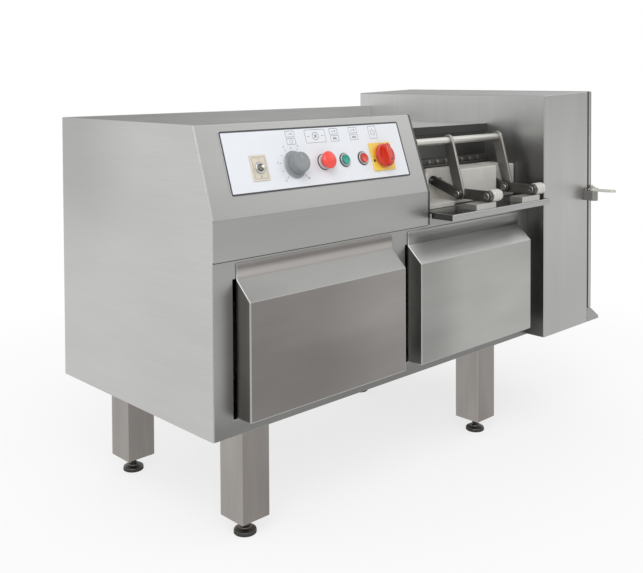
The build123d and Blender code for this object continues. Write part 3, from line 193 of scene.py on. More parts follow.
def new_material(name):
    """Empty node material, with its tree and its object coordinates."""
    material = bpy.data.materials.new(name)
    material.use_nodes = True
    tree = material.node_tree
    tree.nodes.clear()
    return material, tree, add(tree, "ShaderNodeTexCoord").outputs["Object"]


def stained(tree, place, low, high, fade, share):
    """Share of the colour left under painted shade: the given share inside a box, and all of it from the
    fade's distance outward. The distance to the box is |max(|place - middle| - half, 0)|."""
    away = place
    for operation, operand in (
        ("SUBTRACT", (low + high) / 2), ("ABSOLUTE", (0, 0, 0)), ("SUBTRACT", (high - low) / 2),
        ("MAXIMUM", (0, 0, 0)), ("LENGTH", (0, 0, 0)),
    ):
        node = add(tree, "ShaderNodeVectorMath", {1: operand}, {0: away}, operation=operation)
        away = node.outputs["Value" if operation == "LENGTH" else "Vector"]
    return add(
        tree, "ShaderNodeMapRange", limits(share, 1.0, 0.0, fade), {"Value": away},
        interpolation_type="SMOOTHSTEP")


def surfaced(tree, colour, factor, gloss, height, strength, depth, metallic, coat=0.0):
    """Ends a material: the colour times the factor, the gloss as its roughness, and a bump whose
    depth is in millimetres."""
    tint = add(tree, "ShaderNodeVectorMath", {0: tuple(colour)}, {"Scale": factor}, operation="SCALE")
    bump = add(tree, "ShaderNodeBump", {"Strength": strength, "Distance": depth * MM}, {"Height": height})
    shader = add(
        tree, "ShaderNodeBsdfPrincipled", {"Metallic": metallic, "Coat Weight": coat},
        {"Base Color": tint, "Roughness": gloss, "Normal": bump})
    add(tree, "ShaderNodeOutputMaterial", links={"Surface": shader})


def brushed_stainless(name, colour, grain, roughness=0.36, streak=0.07, cloud=0.05, shade_box=None):
    """Stainless sheet ground with a belt: long fine scratches along the grain, and faint clouds
    where the belt pressed harder. Scratches 0.2 mm apart are drawn 1.4 mm apart so that they show.
    The last argument gives the box, the fade and the share of the colour for painted shade there."""
    material, tree, place = new_material(name)
    noises = []
    for across, along, detail, rough in ((700.0, 6.0, 3.0, 0.65), (9.0, 2.2, 2.0, 0.5)):
        scale = [across, across, across]
        scale["XYZ".index(grain)] = along
        drawn = add(tree, "ShaderNodeMapping", {"Scale": scale}, {"Vector": place})
        values = {"Scale": 1.0, "Detail": detail, "Roughness": rough}
        noises.append(add(tree, "ShaderNodeTexNoise", values, {"Vector": drawn}))
    scratches, clouds = noises
    fine = add(tree, "ShaderNodeMapRange", limits(1 - streak, 1 + streak * 0.6), {"Value": scratches})
    wide = add(tree, "ShaderNodeMapRange", limits(1 - cloud, 1 + cloud * 0.6), {"Value": clouds})
    factor = add(tree, "ShaderNodeMath", links={0: fine, 1: wide}, operation="MULTIPLY")
    # Painted shade: the colour is darker inside the given box
    if shade_box:
        left = stained(tree, place, *shade_box)
        factor = add(tree, "ShaderNodeMath", links={0: factor, 1: left}, operation="MULTIPLY")
    gloss = add(tree, "ShaderNodeMapRange", limits(roughness - 0.05, roughness + 0.07), {"Value": scratches})
    surfaced(tree, colour, factor, gloss, scratches, strength=0.12, depth=0.2, metallic=1.0)
    return material


def grained(name, colour, roughness, grain, relief, tone=0.05, metallic=0.0, coat=0.0):
    """Surface with an even fine grain, such as moulded plastic, nylon, rubber, enamel or plating,
    and with faint blotches. The grain's size and relief are in millimetres."""
    material, tree, place = new_material(name)
    fine = add(tree, "ShaderNodeTexNoise", {"Scale": 500.0 / grain, "Detail": 2.0}, {"Vector": place})
    blotches = add(tree, "ShaderNodeTexNoise", {"Scale": 28.0, "Detail": 3.0}, {"Vector": place})
    factor = add(tree, "ShaderNodeMapRange", limits(1 - tone, 1 + tone * 0.5), {"Value": blotches})
    gloss = add(tree, "ShaderNodeMapRange", limits(roughness - 0.05, roughness + 0.05), {"Value": blotches})
    surfaced(tree, colour, factor, gloss, fine, 0.5, relief, metallic, coat)
    return material


def studio_floor(name):
    """Pale floor: white to the camera and in reflections, with a faint soft shadow near the machine."""
    material, tree, place = new_material(name)
    paint = add(tree, "ShaderNodeBsdfDiffuse", {"Color": (0.93, 0.93, 0.93, 1.0)})
    glow = add(tree, "ShaderNodeEmission", {"Color": (1.0, 1.0, 1.0, 1.0), "Strength": 1.0})
    rays = add(tree, "ShaderNodeLightPath").outputs
    seen = add(
        tree, "ShaderNodeMath", links={0: rays["Is Camera Ray"], 1: rays["Is Glossy Ray"]},
        operation="MAXIMUM")
    away = add(tree, "ShaderNodeVectorMath", links={0: place}, operation="LENGTH").outputs["Value"]
    white = add(tree, "ShaderNodeMapRange", limits(0.72, 1.0, 0.5, 1.9), {"Value": away})
    share = add(tree, "ShaderNodeMath", links={0: seen, 1: white}, operation="MULTIPLY")
    mixed = add(tree, "ShaderNodeMixShader", links={0: share, 1: paint, 2: glow})
    add(tree, "ShaderNodeOutputMaterial", links={"Surface": mixed})
    return material


FINISHES = {}


def finish_tables():
    """What brushed_stainless() and grained() take after the name, for every finish."""
    scene = bpy.context.scene
    sheet, press, controls = scene.strip_sheet, scene.strip_press, scene.strip_controls
    brushed = {
        # 304 sheet, belt-ground along the machine: pale, with fine streaks
        "stainless_sheet_long": (sheet.side_colour, "X"),
        # The same sheet with its streaks upright
        "stainless_sheet_upright": (sheet.side_colour, "Z"),
        # The same sheet on the left side, darker towards its upper rear corner as painted shade
        "stainless_side_panel": (
            sheet.side_colour, "Y", 0.36, 0.07, 0.04,
            (*part_of("left_side_panel", start=(0.0, 0.9, 0.9)), 0.32, 0.80)),
        # The same sheet on the tall box, darker towards its foot as painted shade
        "stainless_box_sheet": (
            sheet.side_colour, "Z", 0.36, 0.07, 0.05,
            (*part_of("knife_housing", end=(1.0, 1.0, 0.1)), 0.45, 0.78)),
        # 304 sheet of the hood, ground finer: darker than the side sheet as painted shade
        "stainless_hood_sheet": (sheet.hood_colour, "X", 0.34, 0.05, 0.05),
        # 304 sheet of the frame: darker than the side sheet, and darker still along its foot, as painted
        #                         shade, with clouds
        "stainless_frame_sheet": (
            sheet.frame_colour, "X", 0.36, 0.06, 0.10,
            (*part_of("front_frame", end=(1.0, 1.0, 0.02)), 0.12, 0.62)),
        # 304 sheet of the left cover, ground coarser: darker as painted shade, most towards its lower left
        # corner, with clouds
        "stainless_left_cover": (
            sheet.left_cover_colour, "X", 0.34, 0.05, 0.14,
            (*part_of("left_service_cover", end=(0.35, 1.0, 0.3)), 0.26, 0.72)),
        # 304 sheet of the right cover, ground coarser: paler, with painted shade along its left edge, with
        # clouds
        "stainless_right_cover": (
            sheet.right_cover_colour, "X", 0.34, 0.05, 0.12,
            (*part_of("right_service_cover", end=(0.06, 1.0, 0.8)), 0.16, 0.74)),
        # Slanted top of the left cover, a little lighter than its face as painted light
        "stainless_cover_slant": (srgb("#9A9A98"), "X", 0.36, 0.05, 0.10),
        # Welded square tube, ground along its length: streaked and slightly warm
        "stainless_tube": (sheet.tube_colour, "Z", 0.34, 0.13, 0.16),
        # Front faces of the legs, darker than their sides as painted shade
        "stainless_tube_front": (srgb("#928D89"), "Z", 0.34, 0.13, 0.18),
        # Turned and polished bar: pale and smooth
        "stainless_bar": (srgb("#CFCEC7"), "X", 0.44, 0.05, 0.05),
        # Flat arms of the press, milled: a soft middle grey, darker than the flat bar as painted shade
        "stainless_arm_painted_shade": (srgb("#A9A7A3"), "Z", 0.42, 0.08, 0.06),
        # Latch bracket, polished: it mirrors dark surroundings
        "stainless_latch": (srgb("#8B8986"), "X", 0.18, 0.05, 0.05),
        # Flat bar, milled: pale and dull
        "stainless_flat": (srgb("#C6C4C0"), "Z", 0.44, 0.08, 0.06),
        # Shelf sheet, darkened as painted shade and reflection of the dark press, and smooth so that it
        # mirrors the press
        "stainless_shelf": (srgb("#5E605F"), "X", 0.22, 0.05, 0.06),
        # The shelf's apron, pale: without the shelf's painted shade
        "stainless_apron": (srgb("#ADAEAC"), "X", 0.30, 0.05, 0.06),
        # Sheet inside the recess, darkened as painted shade
        "stainless_recess": (srgb("#5E5F5D"), "X", 0.34, 0.08, 0.12),
        # The tall box's side, with painted shade beside the press
        "stainless_press_side": (sheet.side_colour, "Z", 0.36, 0.07, 0.05, (*beside_press(), 0.15, 0.36)),
        # Painted highlight on folds and welded edges: a thin line of light
        "painted_highlight_fold": (sheet.fold_colour, "X", 0.30, 0.04, 0.02),
        # Tool steel, ground: bright, with fine streaks
        "knife_steel": (srgb("#D6D8DA"), "Y", 0.22, 0.04, 0.02),
    }
    grainy = {
        # Blackened steel, oily: dark, with blotches
        "blackened_steel": (press.lever_colour, 0.42, 0.9, 0.05, 0.22, 0.85),
        # Zinc-plated steel: pale grey with a soft shine
        "zinc_plate": (srgb("#CFCFC9"), 0.28, 1.2, 0.01, 0.10, 1.0),
        # Bare steel fastener, dulled by oil
        "dull_fastener": (srgb("#8E8B88"), 0.34, 1.2, 0.02, 0.15, 1.0),
        # Chemically blackened steel: dark with a soft shine
        "dark_plate": (srgb("#66635F"), 0.36, 1.0, 0.02, 0.20, 0.9),
        # Hard chrome: bright and mirror-like
        "chrome": (srgb("#E4E4E2"), 0.14, 3.0, 0.004, 0.04, 1.0),
        # Cast nylon, milled: off-white and dull
        "nylon": (press.nylon_colour, 0.46, 1.6, 0.03, 0.06),
        # Black nitrile rubber: dark grey and matt
        "rubber": (srgb("#3A3A39"), 0.72, 0.8, 0.05, 0.12),
        # Polyester laminate with a clear hard coat: white with a soft shine
        "laminate": (controls.plate_colour, 0.34, 1.2, 0.006, 0.015, 0.0, 0.3),
        # Screen-printed ink: near black and matt
        "ink": (srgb("#3E3F43"), 0.5, 1.0, 0.004, 0.05),
        # Anodised aluminium plate: beige and satin
        "beige_plate": (srgb("#D3CABA"), 0.40, 1.0, 0.01, 0.06, 0.2),
        # Moulded ABS: middle grey, satin, with a faint grain
        "grey_abs": (srgb("#868A8C"), 0.36, 0.7, 0.03, 0.06, 0.0, 0.15),
        # Moulded ABS of the rings: light grey and satin
        "light_grey_abs": (srgb("#C9CCCD"), 0.32, 0.7, 0.02, 0.05, 0.0, 0.2),
        # Satin nickel plating: a soft grey shine
        "satin_nickel": (srgb("#B4B8B8"), 0.30, 1.5, 0.01, 0.08, 1.0),
        # Moulded polycarbonate, signal red: glossy
        "red_plastic": (srgb("#CC2F10"), 0.14, 1.5, 0.006, 0.05, 0.0, 0.5),
        # Moulded polycarbonate of the emergency stop: softer orange red, satin
        "stop_red_plastic": (srgb("#EF4B40"), 0.32, 1.2, 0.01, 0.04, 0.0, 0.2),
        # Moulded polycarbonate, signal green: satin
        "green_plastic": (srgb("#0A9684"), 0.28, 1.5, 0.01, 0.05, 0.0, 0.2),
        # Moulded polycarbonate, signal yellow: satin
        "yellow_plastic": (srgb("#EFCA50"), 0.36, 1.2, 0.01, 0.04, 0.0, 0.1),
        # Glass-filled nylon: black and dull, with a fine grain
        "black_plastic": (srgb("#2B2B2C"), 0.5, 0.8, 0.03, 0.10),
        # Enamel on castings: blue-grey, shiny and a little uneven
        "motor_enamel": (srgb("#5E7186"), 0.38, 2.5, 0.12, 0.08, 0.0, 0.2),
        # Hammer enamel: grey, shiny and dimpled
        "tank_enamel": (srgb("#8A8E90"), 0.40, 3.0, 0.10, 0.08, 0.0, 0.2),
        # Painted casting: grey, dull and rough
        "casting": (srgb("#7B7F82"), 0.5, 2.2, 0.20, 0.12, 0.3),
    }
    return brushed, grainy


def finish(name):
    """The named finish, made the first time that a piece asks for it."""
    if name not in FINISHES:
        brushed, grainy = finish_tables()
        if name in brushed:
            FINISHES[name] = brushed_stainless(name, *brushed[name])
        else:
            FINISHES[name] = grained(name, *grainy[name])
    return FINISHES[name]


# Shapes

def placed(mesh, name, body, material, node, replaced=False):
    """Object for a finished mesh at the origin, riding on its body. Where replaced, it stands for the node,
    which is hidden."""
    piece = bpy.data.objects.new(name, mesh)
    bpy.context.scene.collection.objects.link(piece)
    mesh.materials.clear()
    mesh.materials.append(finish(material))
    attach(piece, body)
    if replaced:
        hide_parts(node)
    return piece


def turned(centre, axis, profile, steps=40, flutes=0, depth=0.0, turn=0.0, base=0.0):
    """Grid of a turned shape. Each profile point (radius, height), in millimetres, goes round the
    axis: point = centre + (base + height) * axis + radius * (cos t * side + sin t * across). With
    flutes, the radius is cut by depth * (1 + cos(flutes * t)) / 2."""
    axis = np.array(Vector(axis).normalized())
    side = np.cross(axis, (0.0, 0.0, 1.0) if abs(axis[2]) < 0.9 else (1.0, 0.0, 0.0))
    side /= np.linalg.norm(side)
    across = np.cross(axis, side)
    angle = np.linspace(0, 2 * pi, steps, endpoint=False) + turn
    ring = np.cos(angle)[:, None] * side + np.sin(angle)[:, None] * across
    cut = 1 - depth * (1 + np.cos(flutes * angle)) / 2
    radius, height = np.array(profile, float).T * MM
    reach = radius[:, None] * (cut[None, :] if flutes else 1.0)
    return np.array(centre) + (base * MM + height)[:, None, None] * axis + reach[..., None] * ring[None]


def threaded(centre, radius, low, high, pitch, depth, steps=24):
    """Grid of a screw thread about the Z axis: at height z and angle t the radius is the stem's
    less depth times a triangle wave of z / pitch - t / full turn."""
    angle = np.linspace(0, 2 * pi, steps, endpoint=False)
    height = np.arange(low, high, pitch / 6)
    phase = np.mod(height[:, None] / pitch - angle[None, :] / (2 * pi), 1.0)
    reach = radius - depth * np.abs(2 * phase - 1)
    x = centre[0] + reach * np.cos(angle)
    y = centre[1] + reach * np.sin(angle)
    z = np.broadcast_to(height[:, None], reach.shape)
    return np.stack((x, y, z), axis=-1)


def slab(ring, rise):
    """Grid of a flat plate: its corner ring, and the ring raised by the rise."""
    return np.stack((ring, ring + rise))


def tube_ring(outer, inner, rise):
    """Grid of a flat frame: outer ring, inner ring, and the same two raised, closed into a loop."""
    return np.stack((outer, outer + rise, inner + rise, inner, outer))


def piece_of(name, grids, material, node, body="cabinet", replaced=False, sharp=32.0, loops=False):
    """One mesh from several grids. Rows follow the path and columns go round the section. The end
    rings are closed with one face each, unless they meet in a point or the rows are a loop."""
    points, faces, start = [], [], 0
    for grid in grids:
        rows, cols = grid.shape[:2]
        index = start + np.arange(rows * cols).reshape(rows, cols)
        right = np.roll(index, -1, axis=1)
        quads = np.stack((index[:-1], right[:-1], right[1:], index[1:]), axis=-1).reshape(-1, 4)
        points.append(grid.reshape(-1, 3))
        faces.extend(quads.tolist())
        if not loops:
            for row in (0, -1):
                if np.ptp(grid[row], axis=0).max() > MERGE_DISTANCE:
                    faces.append(index[row].tolist())
        start += rows * cols
    mesh = bpy.data.meshes.new(name)
    mesh.from_pydata(np.concatenate(points).tolist(), [], faces)
    shell = bmesh.new()
    shell.from_mesh(mesh)
    bmesh.ops.remove_doubles(shell, verts=shell.verts, dist=MERGE_DISTANCE)
    bmesh.ops.recalc_face_normals(shell, faces=shell.faces)
    for face in shell.faces:
        face.smooth = True
    for edge in shell.edges:
        edge.smooth = len(edge.link_faces) == 2 and edge.calc_face_angle(0.0) < radians(sharp)
    shell.to_mesh(mesh)
    shell.free()
    return placed(mesh, name, body, material, node, replaced)


def beside_press():
    """Corners of the room in front of the feed chamber, from the floor to a hand above the shelf, where the
    tall box's side gets painted shade.
    """
    (shelf_low, shelf_high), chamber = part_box("press_shelf"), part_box("feed_chamber")[0]
    low = Vector((shelf_low.x, shelf_low.y - 200 * MM, 0.0))
    return low, Vector((shelf_high.x + 50 * MM, chamber.y, shelf_low.z + 90 * MM))


def part_of(node, start=(0.0, 0.0, 0.0), end=(1.0, 1.0, 1.0)):
    """Corners of a part of a node's box, each given as shares of the box's length, depth and height."""
    low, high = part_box(node)
    return low + (high - low) * Vector(start), low + (high - low) * Vector(end)


def refaced(piece, material, facing, least):
    """Gives a second finish to the faces whose normal, times the facing direction, passes the least: painted
    light and shade by the way the faces look.
    """
    mesh = piece.data
    mesh.materials.append(finish(material))
    normals = np.empty(3 * len(mesh.polygons), np.float32)
    mesh.polygons.foreach_get("normal", normals)
    chosen = normals.reshape(-1, 3) @ np.array(facing, np.float32) > least
    slots = np.empty(len(mesh.polygons), np.int32)
    mesh.polygons.foreach_get("material_index", slots)
    slots[chosen] = len(mesh.materials) - 1
    mesh.polygons.foreach_set("material_index", slots)


def thinnest_behind(edge, solid, most):
    """Least depth of metal behind the two faces of an edge, probed at two points just inside it."""
    start, end = (vert.co for vert in edge.verts)
    thinnest = most
    for share in (0.3, 0.7):
        middle = start.lerp(end, share)
        pair = tuple(edge.link_faces)
        for here, other in (pair, pair[::-1]):
            inward = -other.normal - here.normal * (-other.normal).dot(here.normal)
            if inward.length < 1e-9:
                continue
            probe = middle + inward.normalized() * PROBE_INSET - here.normal * PROBE_DEPTH
            depth = solid.ray_cast(probe, -here.normal)[3]
            if depth is not None:
                thinnest = min(thinnest, depth)
    return thinnest


def softened(node, material, bend, rim, highlight_finish=None):
    """Copy of a CAD solid with its outer edges rounded. An edge with solid metal behind both of its
    faces gets the bend radius, and the edge of a thin sheet gets a third of its thickness at most.
    The rounding may have a finish of its own, a painted highlight along the folds."""
    source = frame["nodes"][node]
    shell = bmesh.new()
    shell.from_mesh(source.data)
    bmesh.ops.remove_doubles(shell, verts=shell.verts, dist=CAD_MERGE_DISTANCE)
    bmesh.ops.dissolve_limit(shell, angle_limit=FLAT_ANGLE, verts=shell.verts, edges=shell.edges)
    shell.normal_update()
    solid = BVHTree.FromBMesh(shell)
    weights = shell.edges.layers.float.new("bevel_weight_edge")
    for face in shell.faces:
        face.smooth = True
    for edge in shell.edges:
        if len(edge.link_faces) != 2:
            continue
        angle = edge.calc_face_angle_signed(0.0)
        if abs(angle) < FOLD_ANGLE:
            continue
        edge.smooth = False
        if angle < 0 or edge.calc_length() < SHORTEST_EDGE:
            continue
        thinnest = thinnest_behind(edge, solid, bend * 4)
        solid_behind = thinnest > 2.2 * bend
        radius = bend if solid_behind else min(rim, 0.33 * thinnest)
        edge[weights] = min(1.0, radius / bend)
        edge.smooth = True
    mesh = bpy.data.meshes.new(node + "_rounded")
    shell.to_mesh(mesh)
    shell.free()
    piece = placed(mesh, node + "_rounded", source["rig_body"], material, node, True)
    bevel = piece.modifiers.new("edge rounding", "BEVEL")
    bevel.width = bend
    bevel.segments = 3
    bevel.limit_method = "WEIGHT"
    bevel.use_clamp_overlap = False
    bevel.miter_outer = "MITER_ARC"
    if highlight_finish:
        mesh.materials.append(finish(highlight_finish))
        bevel.material = len(mesh.materials) - 1
    level = piece.modifiers.new("flat faces", "WEIGHTED_NORMAL")
    level.mode = "FACE_AREA"
    level.weight = 100
    level.keep_sharp = True
    return piece


def folded_sheets(rows, sheet):
    """Rounds each node of the rows, which give its finish, whether its folds get a painted highlight, and
    second finishes, painted light and shade, for the faces that look a given way."""
    for node, material, bright, *others in rows:
        highlight_finish = "painted_highlight_fold" if bright else None
        piece = softened(node, material, sheet.bend_radius, sheet.rim_radius, highlight_finish)
        for other, facing, least in others:
            refaced(piece, other, facing, least)


def dressed(node, material):
    """Gives a CAD node that stays in view its finish."""
    mesh = frame["nodes"][node].data
    mesh.materials.clear()
    mesh.materials.append(finish(material))


# Places on the sloping control panel, in millimetres

OUT = np.array(Vector(JOINT_OF["speed_turn"]["axis"]).normalized())
ALONG = np.array((1.0, 0.0, 0.0))
UP = np.cross(OUT, ALONG) / np.linalg.norm(np.cross(OUT, ALONG))
KNOB_PLACE, CONTROL_ROW, ICON_ROW = 246.0, 98.5, 159.5
PANEL_ORIGIN = np.array(JOINT_OF["speed_turn"]["pos_m"]) - MM * (KNOB_PLACE * ALONG + CONTROL_ROW * UP)
PLATE_SPAN = (59.0, 611.0, 44.6, 182.6)
PLATE_FACE = 1.5
INK = 0.12


def on_panel(u, s, height=PLATE_FACE):
    """Points on the panel, u along it from the left side, s up the slope from its foot and the height
    off its sheet: origin + u * along + s * up + height * out."""
    flat = np.multiply.outer(u, ALONG) + np.multiply.outer(s, UP)
    return PANEL_ORIGIN + MM * (flat + np.multiply.outer(height, OUT))


def middle_along(node):
    """How far along the panel the middle of a node lies, to a tenth of a millimetre."""
    low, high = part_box(node)
    return round(((low.x + high.x) / 2 - PANEL_ORIGIN[0]) / MM, 1)


def mark(u, s, width, height, lean=0.0, level=PLATE_FACE):
    """Small printed bar at a place of the panel, leaning by an angle."""
    half = np.array(((-1, -1), (1, -1), (1, 1), (-1, 1))) * (width / 2, height / 2)
    turn = np.array(((cos(lean), -sin(lean)), (sin(lean), cos(lean))))
    across, up = (half @ turn.T).T
    return slab(on_panel(u + across, s + up, level), INK * MM * OUT)


def outline(u, s, width, height, line, corner=1.6, level=PLATE_FACE):
    """Printed frame with round corners: corner arcs of six points joined by straight sides."""
    def ring(grow):
        turn = (np.linspace(0, pi / 2, 6) + np.arange(4)[:, None] * pi / 2).ravel()
        a, b = np.repeat(((1, 1), (-1, 1), (-1, -1), (1, -1)), 6, axis=0).T
        across = a * (width / 2 - corner) + (corner + grow) * np.cos(turn)
        up = b * (height / 2 - corner) + (corner + grow) * np.sin(turn)
        return on_panel(u + across, s + up, level)
    return tube_ring(ring(0.0), ring(-line), INK * MM * OUT)


def circle_mark(u, s, radius, line, start=0.0, end=2 * pi):
    """Printed ring, or an arc of it, from short bars set round a circle."""
    count = max(10, int(24 * (end - start) / (2 * pi)))
    step = (end - start) / count
    length = radius * step * 1.12
    return [
        mark(u + radius * cos(a), s + radius * sin(a), length, line, a + pi / 2)
        for a in np.linspace(start, end, count, endpoint=False) + step / 2]


def figure(name, text, u, s, size, node, level=PLATE_FACE):
    """Printed figure on the panel, made a mesh and then laid on the slope."""
    curve = bpy.data.curves.new(name, "FONT")
    curve.body = text
    curve.size = size * MM
    curve.align_x = "CENTER"
    curve.align_y = "CENTER"
    curve.extrude = INK * MM / 2
    holder = bpy.data.objects.new(name + "_curve", curve)
    bpy.context.scene.collection.objects.link(holder)
    bpy.context.view_layer.update()
    mesh = bpy.data.meshes.new_from_object(holder)
    bpy.data.objects.remove(holder)
    bpy.data.curves.remove(curve)
    lay = Matrix(np.array((ALONG, UP, OUT)).T.tolist()).to_4x4()
    lay.translation = Vector(on_panel(u, s, level + INK / 2))
    mesh.transform(lay)
    mesh.name = name
    return placed(mesh, name, "cabinet", "ink", node)


# Operators, one for each group of pieces

class SheetCabinet(bpy.types.Operator):
    """Rounds the folded edges of the cabinet's sheets and gives them their grain"""
    bl_idname = "strip_cutter.cabinet"
    bl_label = "Cabinet sheets"

    def execute(self, context):
        folded_sheets((
            ("left_side_panel", "stainless_side_panel", True),
            ("rear_panel", "stainless_sheet_long", True),
            ("front_frame", "stainless_frame_sheet", True),
            ("control_hood", "stainless_hood_sheet", True),
            # Painted shade: the recess finish darkens the partition, the deck's front faces and the feed
            # chamber
            ("partition_wall", "stainless_recess", False),
            ("top_deck", "stainless_sheet_long", False, ("stainless_recess", TO_FRONT, 0.9)),
            # Painted shade: the shelf's top is darker than its apron's front and under faces
            ("press_shelf", "stainless_shelf", True,
             ("stainless_apron", TO_FRONT, 0.9), ("stainless_apron", TO_FLOOR, 0.9)),
            ("feed_chamber", "stainless_recess", False),
            # Painted light: the covers' slanted tops are paler than their faces
            ("left_service_cover", "stainless_left_cover", True,
             ("stainless_cover_slant", COVER_SLOPE, 0.98)),
            ("right_service_cover", "stainless_right_cover", True,
             ("stainless_sheet_long", COVER_SLOPE, 0.98)),
            # Painted shade: the legs' front faces are darker than their sides
            ("front_legs", "stainless_tube", False, ("stainless_tube_front", TO_FRONT, 0.9)),
            ("rear_legs", "stainless_tube", False, ("stainless_tube_front", TO_FRONT, 0.9)),
        ), context.scene.strip_sheet)
        dressed("floor_pan", "stainless_sheet_long")
        dressed("base_frame", "stainless_tube")
        # Black strip along the deck's front edge: partly a rubber trim, partly painted shade of the gap under
        # that edge
        softened("deck_edge_trim", "rubber", 0.8 * MM, 0.4 * MM)
        bead_height, bead_depth, sunk = 1.7 * MM, 0.6 * MM, 0.1 * MM
        low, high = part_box("control_hood")
        face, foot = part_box("front_frame")[0].y + sunk, low.z - bead_height
        corners = np.array((
            (low.x, face, foot), (high.x, face, foot), (high.x, face, low.z), (low.x, face, low.z)))
        piece_of("hood_sealing_bead", [slab(corners, (0, -bead_depth, 0))], "rubber", "control_hood")
        return {"FINISHED"}


class SidePress(bpy.types.Operator):
    """Levers, arms, links, jaw and blocks of the side press"""
    bl_idname = "strip_cutter.side_press"
    bl_label = "Side press"

    def execute(self, context):
        edge = context.scene.strip_press.edge_radius
        for node, material, bend, rim in (
            ("press_levers", "blackened_steel", edge, edge),
            ("rear_links", "blackened_steel", edge, edge),
            # Painted shade: the arms' finish is darker than the flat bar's
            ("press_arms", "stainless_arm_painted_shade", edge, edge),
            ("press_jaw", "nylon", 1.0 * MM, 0.6 * MM),
            ("pivot_blocks", "stainless_flat", 0.6 * MM, 0.4 * MM),
            ("clamp_bar", "blackened_steel", 0.8 * MM, 0.5 * MM),
            ("jaw_guide_cheek", "stainless_flat", edge, edge),
        ):
            softened(node, material, bend, rim)
        dressed("pusher_head", "nylon")
        dressed("ram_rod", "chrome")
        dressed("hydraulic_cylinder", "tank_enamel")
        low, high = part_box("handle_bar")
        start = (low.x, (low.y + high.y) / 2, (low.z + high.z) / 2)
        radius, length, round_end = (high.z - low.z) / 2 / MM, (high.x - low.x) / MM, 2.2
        arc = np.linspace(0, pi / 2, 6)
        tip = [(radius - round_end * (1 - sin(a)), round_end * (1 - cos(a))) for a in arc]
        bar = [(0, 0)] + tip + [(r, length - h) for r, h in tip[::-1]] + [(0, length)]
        piece_of(
            "handle_bar_round", [turned(start, X_AXIS, bar)], "stainless_bar", "handle_bar",
            "handle_crank", True)
        return {"FINISHED"}


class PressFixings(bpy.types.Operator):
    """Pins with socket heads in the linkage, the bolts of the clamp bar and the bushes' sleeves"""
    bl_idname = "strip_cutter.press_fixings"
    bl_label = "Press fixings"

    def execute(self, context):
        levers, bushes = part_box("press_levers"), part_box("pivot_blocks")
        pins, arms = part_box("lever_pins"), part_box("press_arms")
        pivot, knee = (Vector(JOINT_OF[joint]["pos_m"]) for joint in ("handle_swing", "link_fold"))
        head, pin, cap, socket, plate = 5, 7, 9.4, 4.2, 10
        spacing = levers[1].x - plate * MM - levers[0].x
        arm = arms[1].x - levers[1].x
        inner_head = pins[0].x + head * MM
        grids = []
        for centre, start, end in (
            (pivot, levers[0].x, bushes[1].x - spacing),
            (pivot, levers[0].x + spacing, bushes[1].x),
            (knee, inner_head, levers[0].x + plate * MM),
            (knee, inner_head + spacing + arm, arms[1].x),
        ):
            length = (end - start) / MM
            profile = [
                (0, -1.5), (socket, -1.5), (socket, -head), (cap - 1.5, -head), (cap, 1.5 - head),
                (cap, 0), (pin, 0), (pin, length), (0, length)]
            grids.append(turned((start, centre.y, centre.z), X_AXIS, profile))
        piece_of("linkage_pins", grids, "dull_fastener", "lever_pins", "handle_crank", True)
        low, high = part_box("clamp_bar")
        bolt_gap = context.scene.strip_press.bolt_spacing
        count = int((high.x - low.x - 2 * bolt_gap) / bolt_gap) + 1
        first = (low.x + high.x - (count - 1) * bolt_gap) / 2
        washer = [(0, 0), (6, 0), (6, 1.1), (0, 1.1)]
        crown = [(0, 1.1), (4.2, 1.1), (4.6, 1.6), (4.6, 4), (4, 4.6), (0, 4.6)]
        bolts = []
        for place in range(count):
            centre = (first + place * bolt_gap, low.y, (low.z + high.z) / 2)
            bolts.append(turned(centre, TO_FRONT, washer, 24))
            bolts.append(turned(centre, TO_FRONT, crown, HEXAGON, turn=0.3 * place))
        piece_of("clamp_bolts", bolts, "dull_fastener", "lever_pins")
        sleeve = [(13, 0), (15.2, 0.2), (15.7, 1), (15.7, 8.6), (15.2, 9.4), (13, 9.6), (13, 0)]
        sleeve_places = (4, 15, 26)
        sleeves = []
        for shift in (0.0, spacing):
            for behind_plate in sleeve_places:
                place = (levers[0].x + shift + (plate + behind_plate) * MM, pivot.y, pivot.z)
                sleeves.append(turned(place, X_AXIS, sleeve, 48))
        piece_of("bush_sleeves", sleeves, "nylon", "pivot_blocks", loops=True)
        return {"FINISHED"}


